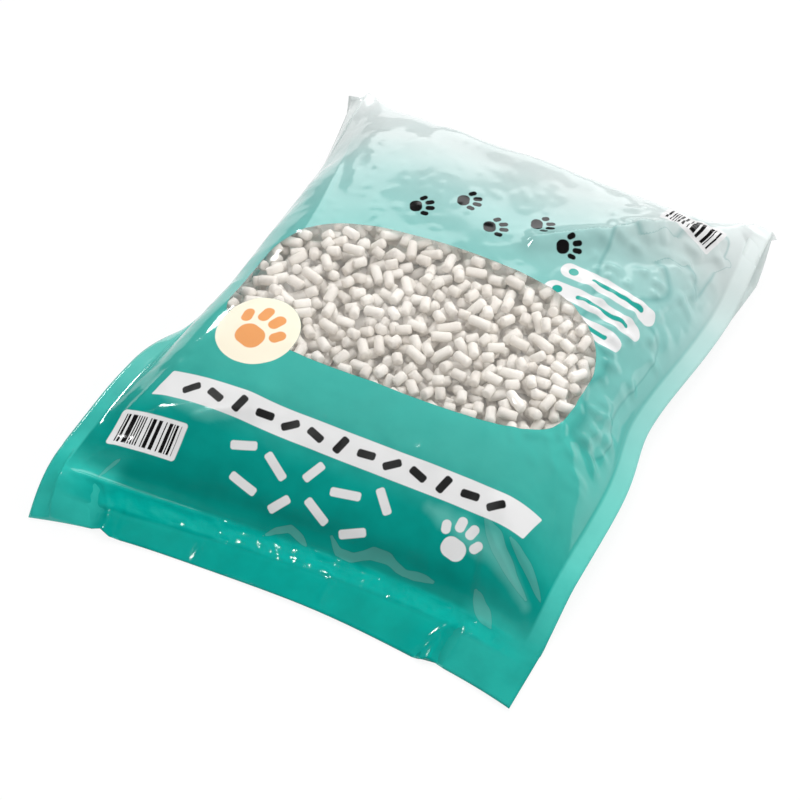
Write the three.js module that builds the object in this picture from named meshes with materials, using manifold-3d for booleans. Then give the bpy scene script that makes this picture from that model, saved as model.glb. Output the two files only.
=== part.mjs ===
// A filled bag of cat litter pellets, lying on its back. Millimetres, +Z up.
// The origin is on the floor under the middle of the bag. The bottom seal is at the front (-Y) and the top
// seal at the rear (+Y). The bag is one printed film with a window in its face, where the pellet bed shows.
import * as THREE from 'three';
import { mergeVertices } from 'three/addons/utils/BufferGeometryUtils.js';
import Module from 'manifold-3d';

const wasm = await Module();
wasm.setup();

// The bag as it lies on the floor
const BAG_WIDTH = 300; // over the edge seals, at the front end
const BAG_LENGTH = 388; // from the front cut edge to the rear cut edge, at the ears
const CROWN_HEIGHT = 60; // top of the face above the floor, without its folds
const FLANK_POWER = 7; // how squarely the face turns down to its long sides, at mid length
const EDGE_POWER = 4; // how closely the inside of the film follows the face out to its long edges
const EDGE_SHARE = 0.2; // share of the inset that is left in height at those edges
const SEAL_POWER = 2; // the same at the seals, where the face is a shallow curve
const FRONT_RISE = 130; // length over which the face climbs from the front seal
const REAR_RISE = 50; // length over which the face drops to the rear seal

// The film
const FILM_THICKNESS = 0.12;
const FILL_CLEARANCE = 0.3; // between the film and the pellets

// The two long sides differ: the left edge of the face is drawn in and lies higher than the right one
const LEFT_WAIST = 11; // how far the left side draws in, behind the front
const LEFT_WAIST_START = 0.12; // as a share of the side's length
const LEFT_WAIST_END = 0.5;
const LEFT_EDGE_HEIGHT = 25;
const RIGHT_EDGE_HEIGHT = 14;
const EDGE_RISE = 0.14; // share of the length over which the edges reach those heights from the front seal
const EDGE_END_RISE = 0.2; // the same at the rear seal

// Edge seals along the four long edges
const FIN_WIDTH = 11.5;
const LEFT_FIN_DROOP = 6; // degrees below level, along the sides
const RIGHT_FIN_DROOP = 14;
const FIN_END_DROOP = 12; // degrees below level, at the seals
const FIN_HANG = 80; // degrees below level, where the left fin is turned down at the rear
const FIN_TURN_START = 0.22; // where the left fin starts to turn down, as a share of the side's length
const FIN_TURN_END = 0.44;
const BACK_TUCK = 9; // how far the back's edges lie inside the face's edges

// Gussets, folded in between the face and the back
const GUSSET_TUCK = 9; // depth of the open fold at mid length
const GUSSET_END_TUCK = 2; // depth that stays open at the seals

// Bottom seal at the front
const FRONT_SEAL_DEPTH = 29;
const FRONT_SEAL_SKEW = 0.06; // slope of the seal line, which is not quite square to the bag
const FRONT_PULL = 16; // how far the middle is drawn in behind the ears
const FRONT_PULL_POWER = 2.5; // how evenly the cut edge curves from the middle to the ears
const FRONT_SEAL_HEIGHT = 8; // seal line above the floor, in the middle
const LEFT_EAR_HEIGHT = 25; // seal line above the floor, at the long sides
const RIGHT_EAR_HEIGHT = 4;
const LEFT_EAR_FALL = 2; // how late the raised left ear falls to its cut edge
const FRONT_LIFT = 25; // length over which the back leaves the floor
const PLEAT_FROM_SIDE = 51; // the gusset's inner fold shows as a pleat across the seal
const PLEAT_HEIGHT = 4;
const PLEAT_WIDTH = 8;

// Top seal at the rear, hanging down to the floor
const REAR_SEAL_REACH = 4; // how far the hanging seal stands out behind
const REAR_PULL = 18;
const REAR_PULL_POWER = 4;
const REAR_PULL_SKEW = 0.4; // how much further the right half is drawn in than the left half
const REAR_SEAL_HEIGHT = 26;
const LEFT_REAR_EAR_HEIGHT = 38;
const RIGHT_REAR_EAR_HEIGHT = 35;
const REAR_LIFT = 22;

// A kink in the right side, where the film has buckled
const DENT_DEPTH = 9;
const DENT_FROM_SEAL = 178; // from the front seal line
const DENT_FRONT_SPREAD = 40;
const DENT_REAR_SPREAD = 64;

// Window in the face
const WINDOW_WIDTH = 214;
const WINDOW_LENGTH = 124;
const WINDOW_CORNER = 46; // how much of the front edge each round corner takes
const WINDOW_ARCH = 76; // length of the arched rear part
const QUARTER_ROUND = 0.5523; // where the handles of a quarter circle's curve lie

// Pellets in the window
const PELLET_DIAMETER = 6.1;
const PELLET_SHORTEST = 6.5;
const PELLET_LONGEST = 14.5;
const PELLET_SHORTNESS = 1.4; // above 1, short pellets are more usual than long ones
const PELLET_TILT = 45; // degrees, at most
const PELLET_COUNT = 440; // dropped over the window's box
const PELLET_TRIES = 12; // places tried for each pellet, which keeps the deepest one
const PELLET_SEED = 7;
const PELLET_END_ROUND = 0.45; // how much shorter a pellet counts at each end, in radii, for its worn rim
const PELLET_MARGIN = 4; // how far the loose pellets go on under the window's edge
const PELLET_SINK = 1.3; // below the film, for the film's curve over a pellet's length
const TRAY_STEP = 0.5; // cell size of the tray that the pellets are dropped into
const BED_DEPTH = 5; // level of the solid bed below the pellets' tops
const BED_FADE = 26; // length over which the bed rises from the window to the film

// Broad folds of the slack film on the face. Each path is in shares of the half width and the half length,
// each height is a share of the crown's height, and each spread is a share of the half width.
const FACE_FOLDS = [
  { path: [[-0.853, -0.66], [-0.64, -0.588], [-0.413, -0.474]], height: 0.067, spread: 0.087 },
  { path: [[0.24, 0.433], [0.487, 0.557], [0.66, 0.711], [0.827, 0.794]], height: 0.083, spread: 0.06 },
  { path: [[0.613, 0.515], [0.773, 0.66], [0.893, 0.763]], height: -0.05, spread: 0.053 },
  { path: [[0.813, -0.32], [0.667, -0.041]], height: 0.067, spread: 0.08 },
  { path: [[0.613, -0.608], [0.647, -0.722], [0.673, -0.784]], height: -0.05, spread: 0.053 },
  { path: [[0.667, -0.505], [0.787, -0.588], [0.893, -0.66]], height: 0.05, spread: 0.06 },
  { path: [[-0.853, 0.206], [-0.747, 0.412], [-0.693, 0.67]], height: 0.042, spread: 0.067 },
  { path: [[-0.4, 0.814], [-0.133, 0.773], [0.267, 0.784]], height: 0.042, spread: 0.06 },
];

// How finely the curved sheets are divided
const STATIONS = 32;
const HOLLOW_END_STATIONS = 2; // stations at each end that the film's hollow does not reach
const FILL_END_STATIONS = 4; // the same for the fill
const BACK_STRIPS = 16;
const FACE_STRIPS = 2 * BACK_STRIPS; // two strips of the face above each strip of the back
const SEAL_COLUMNS = 14;
const WINDOW_ARC_STEPS = 7;
const PELLET_SIDES = 6;
const FRONT_SEAL_ROWS = 4;
const REAR_SEAL_ROWS = 2;
const ROOT_OVERLAP = 1.5; // how far an end seal reaches into the film that it grows from

const HALF_WIDTH = BAG_WIDTH / 2;
const HALF_LENGTH = BAG_LENGTH / 2;
const PELLET_RADIUS = PELLET_DIAMETER / 2;
const FIN_THICKNESS = 2 * FILM_THICKNESS; // face or back, welded to its gusset
const SEAL_THICKNESS = 5 * FILM_THICKNESS; // face, back and both gusset panels, with their weld
const { lerp, clamp, degToRad, smoothstep } = THREE.MathUtils;

// Plan of the bag

function endPull(x, power) {
  return Math.max(0, 1 - Math.abs(x / HALF_WIDTH) ** power);
}

function frontEdgeY(x) {
  return -HALF_LENGTH + FRONT_PULL * endPull(x, FRONT_PULL_POWER);
}

function frontSealY(x) {
  return frontEdgeY(x) + FRONT_SEAL_DEPTH + FRONT_SEAL_SKEW * x;
}

function rearEdgeY(x) {
  return HALF_LENGTH - REAR_PULL * endPull(x, REAR_PULL_POWER) * (1 + (REAR_PULL_SKEW * x) / HALF_WIDTH);
}

function rearSealY(x) {
  return rearEdgeY(x) - REAR_SEAL_REACH;
}

function bodyLength(x) {
  return rearSealY(x) - frontSealY(x);
}

// 1 at mid length, 0 at both seals
function midness(along) {
  return Math.sin(Math.PI * clamp(along, 0, 1));
}

// Half width of the face where its fin starts. along runs from 0 at the front seal to 1 at the rear seal.
function rootHalf(along, side) {
  const endHalf = HALF_WIDTH - FIN_WIDTH * Math.cos(degToRad(FIN_END_DROOP));
  if (side < 0) return endHalf - LEFT_WAIST * smoothstep(along, LEFT_WAIST_START, LEFT_WAIST_END);
  const off = along * bodyLength(HALF_WIDTH) - DENT_FROM_SEAL;
  const spread = off < 0 ? DENT_FRONT_SPREAD : DENT_REAR_SPREAD;
  return endHalf - DENT_DEPTH * Math.exp(-((off / spread) ** 2));
}

function backHalf(along, side) {
  return rootHalf(along, side) - BACK_TUCK * midness(along);
}

// Heights of the face, its long edges and the back

function rootHeight(along, side) {
  const left = [LEFT_EAR_HEIGHT, LEFT_EDGE_HEIGHT, LEFT_REAR_EAR_HEIGHT];
  const right = [RIGHT_EAR_HEIGHT, RIGHT_EDGE_HEIGHT, RIGHT_REAR_EAR_HEIGHT];
  const [frontEar, edge, rearEar] = side < 0 ? left : right;
  const fromFront = lerp(frontEar, edge, smoothstep(along, 0, EDGE_RISE));
  return lerp(fromFront, rearEar, smoothstep(along, 1 - EDGE_END_RISE, 1));
}

function fillShare(x, along) {
  const fromFront = clamp((along * bodyLength(x)) / FRONT_RISE, 0, 1);
  const fromRear = clamp(((1 - along) * bodyLength(x)) / REAR_RISE, 0, 1);
  return (1 - (1 - fromFront) ** 2) * Math.sqrt(1 - (1 - fromRear) ** 3);
}

function foldHeight(x, y) {
  const here = new THREE.Vector3(x, y, 0);
  const near = new THREE.Vector3();
  let total = 0;
  for (const { path, height, spread } of FACE_FOLDS) {
    const turns = path.map(([u, v]) => new THREE.Vector3(u * HALF_WIDTH, v * HALF_LENGTH, 0));
    const gaps = turns.slice(1).map((end, i) => {
      new THREE.Line3(turns[i], end).closestPointToPoint(here, true, near);
      return near.distanceTo(here);
    });
    total += height * CROWN_HEIGHT * Math.exp(-((Math.min(...gaps) / (spread * HALF_WIDTH)) ** 2));
  }
  return total;
}

function placeAcross(u, along) {
  const x = u * rootHalf(along, Math.sign(u));
  return { x, y: lerp(frontSealY(x), rearSealY(x), along) };
}

function faceHeight(u, along) {
  const { x, y } = placeAcross(u, along);
  const share = fillShare(x, along);
  const seal = lerp(FRONT_SEAL_HEIGHT, REAR_SEAL_HEIGHT, along);
  const crown = seal + (CROWN_HEIGHT - seal) * share;
  const root = lerp(rootHeight(along, -1), rootHeight(along, 1), (1 + u) / 2);
  const flank = 1 - Math.abs(u) ** lerp(SEAL_POWER, FLANK_POWER, Math.sqrt(midness(along)));
  return root + (crown - root) * flank + foldHeight(x, y) * share * flank;
}

function faceHeightAt(x, y) {
  const along = clamp((y - frontSealY(x)) / bodyLength(x), 0, 1);
  return faceHeight(clamp(x / rootHalf(along, Math.sign(x)), -1, 1), along);
}

// The back lies on the floor and rises to the seal lines at both ends.
function backHeight(u, along) {
  const { x } = placeAcross(u, along);
  const front = clamp(1 - (along * bodyLength(x)) / FRONT_LIFT, 0, 1) ** 2;
  const rear = clamp(1 - ((1 - along) * bodyLength(x)) / REAR_LIFT, 0, 1) ** 2;
  return front * (faceHeight(u, 0) - SEAL_THICKNESS) + rear * (faceHeight(u, 1) - SEAL_THICKNESS);
}

// Solids from rows of points

function solidFrom(points, triangles) {
  const vertProperties = new Float32Array(points.flatMap((p) => [p.x, p.y, p.z]));
  const solid = new wasm.Manifold(
    new wasm.Mesh({ numProp: 3, vertProperties, triVerts: new Uint32Array(triangles.flat()) }),
  );
  if (solid.volume() >= 0) return solid;
  return solidFrom(points, triangles.map(([a, b, c]) => [a, c, b]));
}

function solidFromGeometry(geometry) {
  const bare = geometry.clone();
  bare.deleteAttribute('normal');
  bare.deleteAttribute('uv');
  const merged = mergeVertices(bare, 1e-4);
  return new wasm.Manifold(
    new wasm.Mesh({
      numProp: 3,
      vertProperties: new Float32Array(merged.attributes.position.array),
      triVerts: new Uint32Array(merged.index.array),
    }),
  );
}

function joined(solids) {
  if (solids.length === 1) return solids[0];
  const middle = Math.ceil(solids.length / 2);
  return joined(solids.slice(0, middle)).add(joined(solids.slice(middle)));
}

// Skin through closed loops of equal length, with a cap on the first and the last.
function loft(loops, capOf) {
  const size = loops[0].length;
  const triangles = [];
  for (let k = 0; k + 1 < loops.length; k += 1) {
    for (let i = 0; i < size; i += 1) {
      const next = (i + 1) % size;
      const [a, b] = [k * size + i, k * size + next];
      triangles.push([a, b, b + size], [a, b + size, a + size]);
    }
  }
  const last = loops.length - 1;
  for (const [a, b, c] of capOf(loops[0])) triangles.push([a, c, b]);
  for (const cap of capOf(loops[last])) triangles.push(cap.map((i) => last * size + i));
  return solidFrom(loops.flat(), triangles);
}

// A thin sheet through a grid of points, with its thickness shared by both sides.
function sheet(rows, thickness) {
  const [height, width] = [rows.length, rows[0].length];
  const at = (k, i) => rows[clamp(k, 0, height - 1)][clamp(i, 0, width - 1)];
  const offset = (sign) =>
    rows.flatMap((row, k) =>
      row.map((p, i) => {
        const down = at(k + 1, i).clone().sub(at(k - 1, i));
        const across = at(k, i + 1).clone().sub(at(k, i - 1));
        return across.cross(down).setLength((sign * thickness) / 2).add(p);
      }),
    );
  const points = [...offset(1), ...offset(-1)];
  const other = height * width;
  const triangles = [];
  const quad = (a, b, c, d) => triangles.push([a, b, c], [a, c, d]);
  for (let k = 0; k + 1 < height; k += 1) {
    for (let i = 0; i + 1 < width; i += 1) {
      const a = k * width + i;
      quad(a, a + 1, a + width + 1, a + width);
      quad(other + a, other + a + width, other + a + width + 1, other + a + 1);
    }
  }
  const rim = [];
  for (let i = 0; i + 1 < width; i += 1) rim.push(i);
  for (let k = 0; k + 1 < height; k += 1) rim.push(k * width + width - 1);
  for (let i = width - 1; i > 0; i -= 1) rim.push((height - 1) * width + i);
  for (let k = height - 1; k > 0; k -= 1) rim.push(k * width);
  rim.forEach((a, i) => {
    const b = rim[(i + 1) % rim.length];
    quad(b, a, other + a, other + b);
  });
  return solidFrom(points, triangles);
}

// The body of the bag: face, gussets and back as one closed pillow

// Places from -1 to 1, close together at both ends, where the film turns sharply
function evenTurns(count) {
  return Array.from({ length: count + 1 }, (_, i) => Math.sin(Math.PI * (i / count - 0.5)));
}

const stationPlaces = evenTurns(STATIONS).map((t) => (1 + t) / 2);
const facePlaces = evenTurns(FACE_STRIPS).reverse();
const backPlaces = evenTurns(BACK_STRIPS);

function gussetFold(along, side) {
  const nearSeal = (1 - midness(along)) ** 3;
  const x = rootHalf(along, side) - lerp(GUSSET_END_TUCK, GUSSET_TUCK, midness(along));
  const u = x / rootHalf(along, side);
  const betweenEdges = (backHeight(side, along) + rootHeight(along, side)) / 2;
  const betweenSheets = (backHeight(u * side, along) + faceHeight(u * side, along)) / 2;
  const { y } = placeAcross(u * side, along);
  return new THREE.Vector3(side * x, y, lerp(betweenEdges, betweenSheets, nearSeal));
}

// One cross-section, drawn in by inset on every side. lower drops the face further, where given.
function section(along, inset, lower = () => 0) {
  const drawnIn = (x, y, z) => {
    const half = rootHalf(along, Math.sign(x));
    return new THREE.Vector3(x * (1 - inset / half), y * (1 - inset / HALF_LENGTH), z);
  };
  const back = backPlaces.map((u) => {
    const { y } = placeAcross(u, along);
    return drawnIn(u * (backHalf(along, Math.sign(u)) - 2 * inset), y, backHeight(u, along) + inset);
  });
  const face = facePlaces.map((u) => {
    const { x, y } = placeAcross(u, along);
    const within = u * (1 - inset / rootHalf(along, Math.sign(u)));
    const level = Math.min(faceHeight(u, along), faceHeight(within, along));
    const open = 1 - Math.abs(u) ** EDGE_POWER;
    return drawnIn(x, y, level - inset * lerp(EDGE_SHARE, 1, open) - lower(x, y) * open);
  });
  const folds = [1, -1].map((side) => {
    const p = gussetFold(along, side);
    return drawnIn(p.x - side * inset, p.y, p.z);
  });
  return { back, face, folds };
}

// The outside, with the fins that stand out from the four long edges
function outerLoop(along) {
  const { back, face, folds } = section(along, 0);
  const right = [...backFin(along, 1), folds[0], ...faceFin(along, 1)];
  const left = [...backFin(along, -1), folds[1], ...faceFin(along, -1)];
  return [...back, ...right, ...face, ...left.reverse()];
}

function innerLoop(along, inset, lower) {
  const { back, face, folds } = section(along, inset, lower);
  return [...back, folds[0], ...face, folds[1]];
}

// The end of a slit-shaped loop, cut into triangles in its own plane
function slitCap(loop) {
  return THREE.ShapeUtils.triangulateShape(loop.map((p) => new THREE.Vector2(p.x, p.z)), []);
}

// The end of a loop without fins, in upright strips, because the end bends with the seal line
function stripCap() {
  const rightFold = BACK_STRIPS + 1;
  const leftFold = rightFold + FACE_STRIPS + 2;
  const face = (i) => leftFold - 1 - i;
  const triangles = [];
  for (let i = 1; i + 1 < BACK_STRIPS; i += 1) {
    triangles.push([i, i + 1, face(2 * i + 1)], [i, face(2 * i + 1), face(2 * i)]);
    triangles.push([i + 1, face(2 * i + 2), face(2 * i + 1)]);
  }
  const fan = (fold, ring) => ring.slice(1).forEach((p, i) => triangles.push([fold, ring[i], p]));
  const faceEnd = [FACE_STRIPS, FACE_STRIPS - 1, FACE_STRIPS - 2].map(face);
  fan(rightFold, [...faceEnd, BACK_STRIPS - 1, BACK_STRIPS]);
  fan(leftFold, [0, 1, face(2), face(1), face(0)]);
  return triangles;
}

function pillow(inset, stationsCut, lower) {
  const kept = stationPlaces.slice(stationsCut, stationPlaces.length - stationsCut);
  return loft(kept.map((along) => innerLoop(along, inset, lower)), stripCap);
}

// Edge seals and end seals

function finDroop(along, side) {
  const turnedDown = side < 0 ? smoothstep(along, FIN_TURN_START, FIN_TURN_END) : 0;
  const free = lerp(side < 0 ? LEFT_FIN_DROOP : RIGHT_FIN_DROOP, FIN_HANG, turnedDown);
  return degToRad(lerp(FIN_END_DROOP, free, Math.sqrt(midness(along))));
}

// A point on the face's fin, out from its root and below its upper side
function finPoint(along, side, out, below) {
  const droop = finDroop(along, side);
  const x = rootHalf(along, side) + out * Math.cos(droop) - below * Math.sin(droop);
  const { y } = placeAcross(side, along);
  const z = rootHeight(along, side) - out * Math.sin(droop) - below * Math.cos(droop);
  return new THREE.Vector3(side * x, y, z);
}

// From the gusset's fold to the face: under the fin, and round its tip
function faceFin(along, side) {
  return [
    finPoint(along, side, 0, FIN_THICKNESS),
    finPoint(along, side, FIN_WIDTH, FIN_THICKNESS),
    finPoint(along, side, FIN_WIDTH, 0),
  ];
}

// From the back to the gusset's fold: round the fin's tip, and over it
function backFin(along, side) {
  const root = backHalf(along, side);
  const { y } = placeAcross(side, along);
  const low = backHeight(side, along);
  const reach = FIN_WIDTH * Math.cos(degToRad(FIN_END_DROOP));
  const drop = FIN_WIDTH * Math.sin(degToRad(FIN_END_DROOP)) * (1 - midness(along)) ** 2;
  const tip = Math.max(0, low - drop);
  return [
    new THREE.Vector3(side * (root + reach), y, tip),
    new THREE.Vector3(side * (root + reach), y, tip + FIN_THICKNESS),
    new THREE.Vector3(side * root, y, low + FIN_THICKNESS),
  ];
}

// Height of a seal line at x, from fin tip to fin tip
function sealLineHeight(x, along) {
  const side = x < 0 ? -1 : 1;
  const half = rootHalf(along, side);
  if (Math.abs(x) > half) {
    const out = (Math.abs(x) - half) / Math.cos(finDroop(along, side));
    return finPoint(along, side, out, SEAL_THICKNESS / 2).z;
  }
  return (faceHeight(x / half, along) + backHeight(x / half, along)) / 2;
}

function pleat(x) {
  const off = Math.abs(Math.abs(x) - (HALF_WIDTH - PLEAT_FROM_SIDE));
  return PLEAT_HEIGHT * Math.max(0, 1 - off / PLEAT_WIDTH);
}

// How far a seal strip has come down at a share of its depth. The raised left ear stays up longer.
function sealFall(x, share) {
  const ear = smoothstep(-x, HALF_WIDTH - PLEAT_FROM_SIDE, HALF_WIDTH);
  return share ** lerp(1, LEFT_EAR_FALL, ear);
}

// A seal strip from its line down to its cut edge on the floor
function endSeal(along, edgeY, pleated, rowCount) {
  const left = finPoint(along, -1, FIN_WIDTH, 0).x;
  const right = finPoint(along, 1, FIN_WIDTH, 0).x;
  const lineY = along === 0 ? frontSealY : rearSealY;
  const inward = along === 0 ? ROOT_OVERLAP : -ROOT_OVERLAP;
  const fold = HALF_WIDTH - PLEAT_FROM_SIDE;
  const folds = [-fold, fold].flatMap((x) => [x - PLEAT_WIDTH, x, x + PLEAT_WIDTH]);
  const even = Array.from({ length: SEAL_COLUMNS + 1 }, (_, i) => lerp(left, right, i / SEAL_COLUMNS));
  const columns = [...even, ...folds].sort((a, b) => a - b);
  const rows = [columns.map((x) => new THREE.Vector3(x, lineY(x) + inward, sealLineHeight(x, along)))];
  for (let k = 0; k <= rowCount; k += 1) {
    const share = k / rowCount;
    rows.push(
      columns.map((x) => {
        const z = lerp(sealLineHeight(x, along), SEAL_THICKNESS, sealFall(x, share));
        return new THREE.Vector3(x, lerp(lineY(x), edgeY(x), share), z + pleated * share * pleat(x));
      }),
    );
  }
  return sheet(rows, SEAL_THICKNESS);
}

// The window's outline: a straight front edge with round corners and an arched rear edge

function windowShape(grow) {
  const half = WINDOW_WIDTH / 2 + grow;
  const front = -WINDOW_LENGTH / 2 - grow;
  const rear = WINDOW_LENGTH / 2 + grow;
  const springing = WINDOW_LENGTH / 2 - WINDOW_ARCH;
  const shoulder = lerp(springing, rear, QUARTER_ROUND);
  const shape = new THREE.Shape();
  shape.moveTo(-half + WINDOW_CORNER, front);
  shape.lineTo(half - WINDOW_CORNER, front);
  shape.quadraticCurveTo(half, front, half, springing);
  shape.bezierCurveTo(half, shoulder, half * QUARTER_ROUND, rear, 0, rear);
  shape.bezierCurveTo(-half * QUARTER_ROUND, rear, -half, shoulder, -half, springing);
  shape.quadraticCurveTo(-half, front, -half + WINDOW_CORNER, front);
  return shape;
}

function windowCutter() {
  const geometry = new THREE.ExtrudeGeometry(windowShape(0), {
    depth: CROWN_HEIGHT,
    bevelEnabled: false,
    curveSegments: WINDOW_ARC_STEPS,
  });
  geometry.translate(0, 0, CROWN_HEIGHT / 2);
  return solidFromGeometry(geometry);
}

function insideOutline(points, x, y) {
  let inside = false;
  points.forEach((a, i) => {
    const b = points[(i + 1) % points.length];
    const crosses = a.y > y !== b.y > y && x < ((b.x - a.x) * (y - a.y)) / (b.y - a.y) + a.x;
    if (crosses) inside = !inside;
  });
  return inside;
}

// The film

function filmBag() {
  const outside = joined([
    loft(stationPlaces.map(outerLoop), slitCap),
    endSeal(0, frontEdgeY, 1, FRONT_SEAL_ROWS),
    endSeal(1, rearEdgeY, 0, REAR_SEAL_ROWS),
  ]);
  return outside.subtract(pillow(FILM_THICKNESS, HOLLOW_END_STATIONS)).subtract(windowCutter());
}

// The pellet bed: the fill's own shape, lowered in the window, with loose pellets lying on it

// A fixed sequence of numbers from 0 to 1, so that the bed is the same every time
function numberSequence(seed) {
  let state = seed;
  return () => {
    state = (state * 1664525 + 1013904223) % 4294967296;
    return state / 4294967296;
  };
}

function bedDrop(x, y) {
  const beside = Math.max(0, Math.abs(x) - WINDOW_WIDTH / 2 - PELLET_MARGIN);
  const beyond = Math.max(0, Math.abs(y) - WINDOW_LENGTH / 2 - PELLET_MARGIN);
  return (BED_DEPTH + PELLET_SINK) * (1 - smoothstep(Math.hypot(beside, beyond), 0, BED_FADE));
}

function faceNormalAt(x, y) {
  const step = PELLET_LONGEST / 2;
  const slopeX = (faceHeightAt(x + step, y) - faceHeightAt(x - step, y)) / (2 * step);
  const slopeY = (faceHeightAt(x, y + step) - faceHeightAt(x, y - step)) / (2 * step);
  return new THREE.Vector3(-slopeX, -slopeY, 1).normalize();
}

// Calls visit for each cell of the tray under a pellet, with its axis's rise and its half thickness there
function visitCells(pellet, columns, visit) {
  const { x, y, yaw, tilt, length } = pellet;
  const reach = (length + PELLET_DIAMETER) / 2;
  const half = length / 2 - PELLET_END_ROUND * PELLET_RADIUS;
  const first = (place, origin) => Math.max(0, Math.floor((place - reach + origin) / TRAY_STEP));
  const last = (place, origin) => Math.floor((place + reach + origin) / TRAY_STEP) + 1;
  for (let i = first(y, HALF_LENGTH); i <= last(y, HALF_LENGTH); i += 1) {
    for (let j = first(x, HALF_WIDTH); j <= last(x, HALF_WIDTH); j += 1) {
      const [dx, dy] = [j * TRAY_STEP - HALF_WIDTH - x, i * TRAY_STEP - HALF_LENGTH - y];
      const lengthwise = dx * Math.cos(yaw) + dy * Math.sin(yaw);
      const sideways = dy * Math.cos(yaw) - dx * Math.sin(yaw);
      const onAxis = clamp(lengthwise / Math.cos(tilt), -half, half);
      const offAxis = Math.hypot(sideways, lengthwise - onAxis * Math.cos(tilt));
      if (offAxis >= PELLET_RADIUS) continue;
      visit(i * columns + j, onAxis * Math.sin(tilt), Math.sqrt(PELLET_RADIUS ** 2 - offAxis ** 2));
    }
  }
}

// Where the pellets lie. Each is dropped into a tray that has the film's underside as its floor, so that the
// first layer touches the film and the next ones fill the gaps. Depths are measured down from the film.
function droppedPellets() {
  const next = numberSequence(PELLET_SEED);
  const columns = Math.ceil(BAG_WIDTH / TRAY_STEP) + 1;
  const piled = new Float64Array(columns * (Math.ceil(BAG_LENGTH / TRAY_STEP) + 1));
  const [halfX, halfY] = [WINDOW_WIDTH / 2 + PELLET_MARGIN, WINDOW_LENGTH / 2 + PELLET_MARGIN];
  const tiltMost = degToRad(PELLET_TILT);
  return Array.from({ length: PELLET_COUNT }, () => {
    const length = lerp(PELLET_SHORTEST, PELLET_LONGEST, next() ** PELLET_SHORTNESS);
    let best = { depth: Infinity };
    for (let k = 0; k < PELLET_TRIES; k += 1) {
      const [x, y] = [lerp(-halfX, halfX, next()), lerp(-halfY, halfY, next())];
      const [yaw, tilt] = [Math.PI * next(), lerp(-tiltMost, tiltMost, next())];
      const tried = { x, y, yaw, tilt, length, depth: 0 };
      visitCells(tried, columns, (cell, rise, thick) => {
        tried.depth = Math.max(tried.depth, piled[cell] - rise + thick);
      });
      if (tried.depth < best.depth) best = tried;
    }
    visitCells(best, columns, (cell, rise, thick) => {
      piled[cell] = Math.max(piled[cell], best.depth + rise + thick);
    });
    return best;
  });
}

function pelletSolid({ x, y, yaw, tilt, length, depth }) {
  const normal = faceNormalAt(x, y);
  const across = new THREE.Vector3(1, 0, 0).projectOnPlane(normal).normalize();
  const axis = across.clone().multiplyScalar(Math.cos(yaw));
  axis.addScaledVector(normal.clone().cross(across), Math.sin(yaw));
  axis.multiplyScalar(Math.cos(tilt)).addScaledVector(normal, -Math.sin(tilt));
  const geometry = new THREE.CylinderGeometry(PELLET_RADIUS, PELLET_RADIUS, length, PELLET_SIDES);
  geometry.applyQuaternion(new THREE.Quaternion().setFromUnitVectors(new THREE.Vector3(0, 1, 0), axis));
  const below = depth + FILM_THICKNESS + FILL_CLEARANCE + PELLET_SINK;
  const centre = new THREE.Vector3(x, y, faceHeightAt(x, y)).addScaledVector(normal, -below);
  geometry.translate(centre.x, centre.y, centre.z);
  return solidFromGeometry(geometry);
}

function litterPellets() {
  const bed = pillow(FILM_THICKNESS + FILL_CLEARANCE, FILL_END_STATIONS, bedDrop);
  const outline = windowShape(PELLET_MARGIN).getPoints(WINDOW_ARC_STEPS);
  const seen = droppedPellets().filter(({ x, y }) => insideOutline(outline, x, y));
  return joined([bed, ...seen.map(pelletSolid)]);
}

// The scene graph

function meshOf(name, solid, material) {
  const { vertProperties, triVerts } = solid.getMesh();
  const geometry = new THREE.BufferGeometry();
  geometry.setAttribute('position', new THREE.BufferAttribute(new Float32Array(vertProperties), 3));
  geometry.setIndex(new THREE.BufferAttribute(new Uint32Array(triVerts), 1));
  geometry.computeVertexNormals();
  const mesh = new THREE.Mesh(geometry, material);
  mesh.name = name;
  return mesh;
}

const printedFilm = new THREE.MeshStandardMaterial({ color: 0x3fb6a4, roughness: 0.25, metalness: 0 });
const paleMineral = new THREE.MeshStandardMaterial({ color: 0xe3ded5, roughness: 0.95, metalness: 0 });

const bag = new THREE.Group();
bag.name = 'cat_litter_bag';
bag.add(meshOf('film_bag', filmBag(), printedFilm));
bag.add(meshOf('litter_pellets', litterPellets(), paleMineral));

export default bag;
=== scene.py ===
# %% [markdown]
# A filled bag of cat litter pellets lies on its back. It is one printed plastic film, folded and welded,
# with a clear window in its face, and a bed of pale mineral pellets inside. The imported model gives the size
# and the place of both. This script gives them the look of the real thing: a fine film that lies on the
# pellets, its creases and welds, its print, and the single pellets behind the window.

# %% The frame
import math

import bpy
import numpy as np
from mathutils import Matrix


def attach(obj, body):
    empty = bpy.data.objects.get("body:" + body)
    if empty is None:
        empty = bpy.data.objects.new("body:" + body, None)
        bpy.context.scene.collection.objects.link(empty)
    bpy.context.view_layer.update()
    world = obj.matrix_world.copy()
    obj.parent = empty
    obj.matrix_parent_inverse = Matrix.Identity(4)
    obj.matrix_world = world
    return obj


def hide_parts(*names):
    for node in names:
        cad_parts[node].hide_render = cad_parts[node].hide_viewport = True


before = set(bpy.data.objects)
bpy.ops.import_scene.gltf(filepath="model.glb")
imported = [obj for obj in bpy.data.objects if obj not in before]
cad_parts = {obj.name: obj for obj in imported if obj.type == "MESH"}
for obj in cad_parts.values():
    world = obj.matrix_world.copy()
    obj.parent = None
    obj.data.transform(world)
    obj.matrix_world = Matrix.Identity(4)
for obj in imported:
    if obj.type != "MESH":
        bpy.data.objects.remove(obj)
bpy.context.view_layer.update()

MM = 0.001

# %% [markdown]
# The camera stands where the photographer stood: well above the bag, turned to its right front corner, with
# a long lens. A long lens keeps the far end of the bag nearly as wide as the near end.

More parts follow.
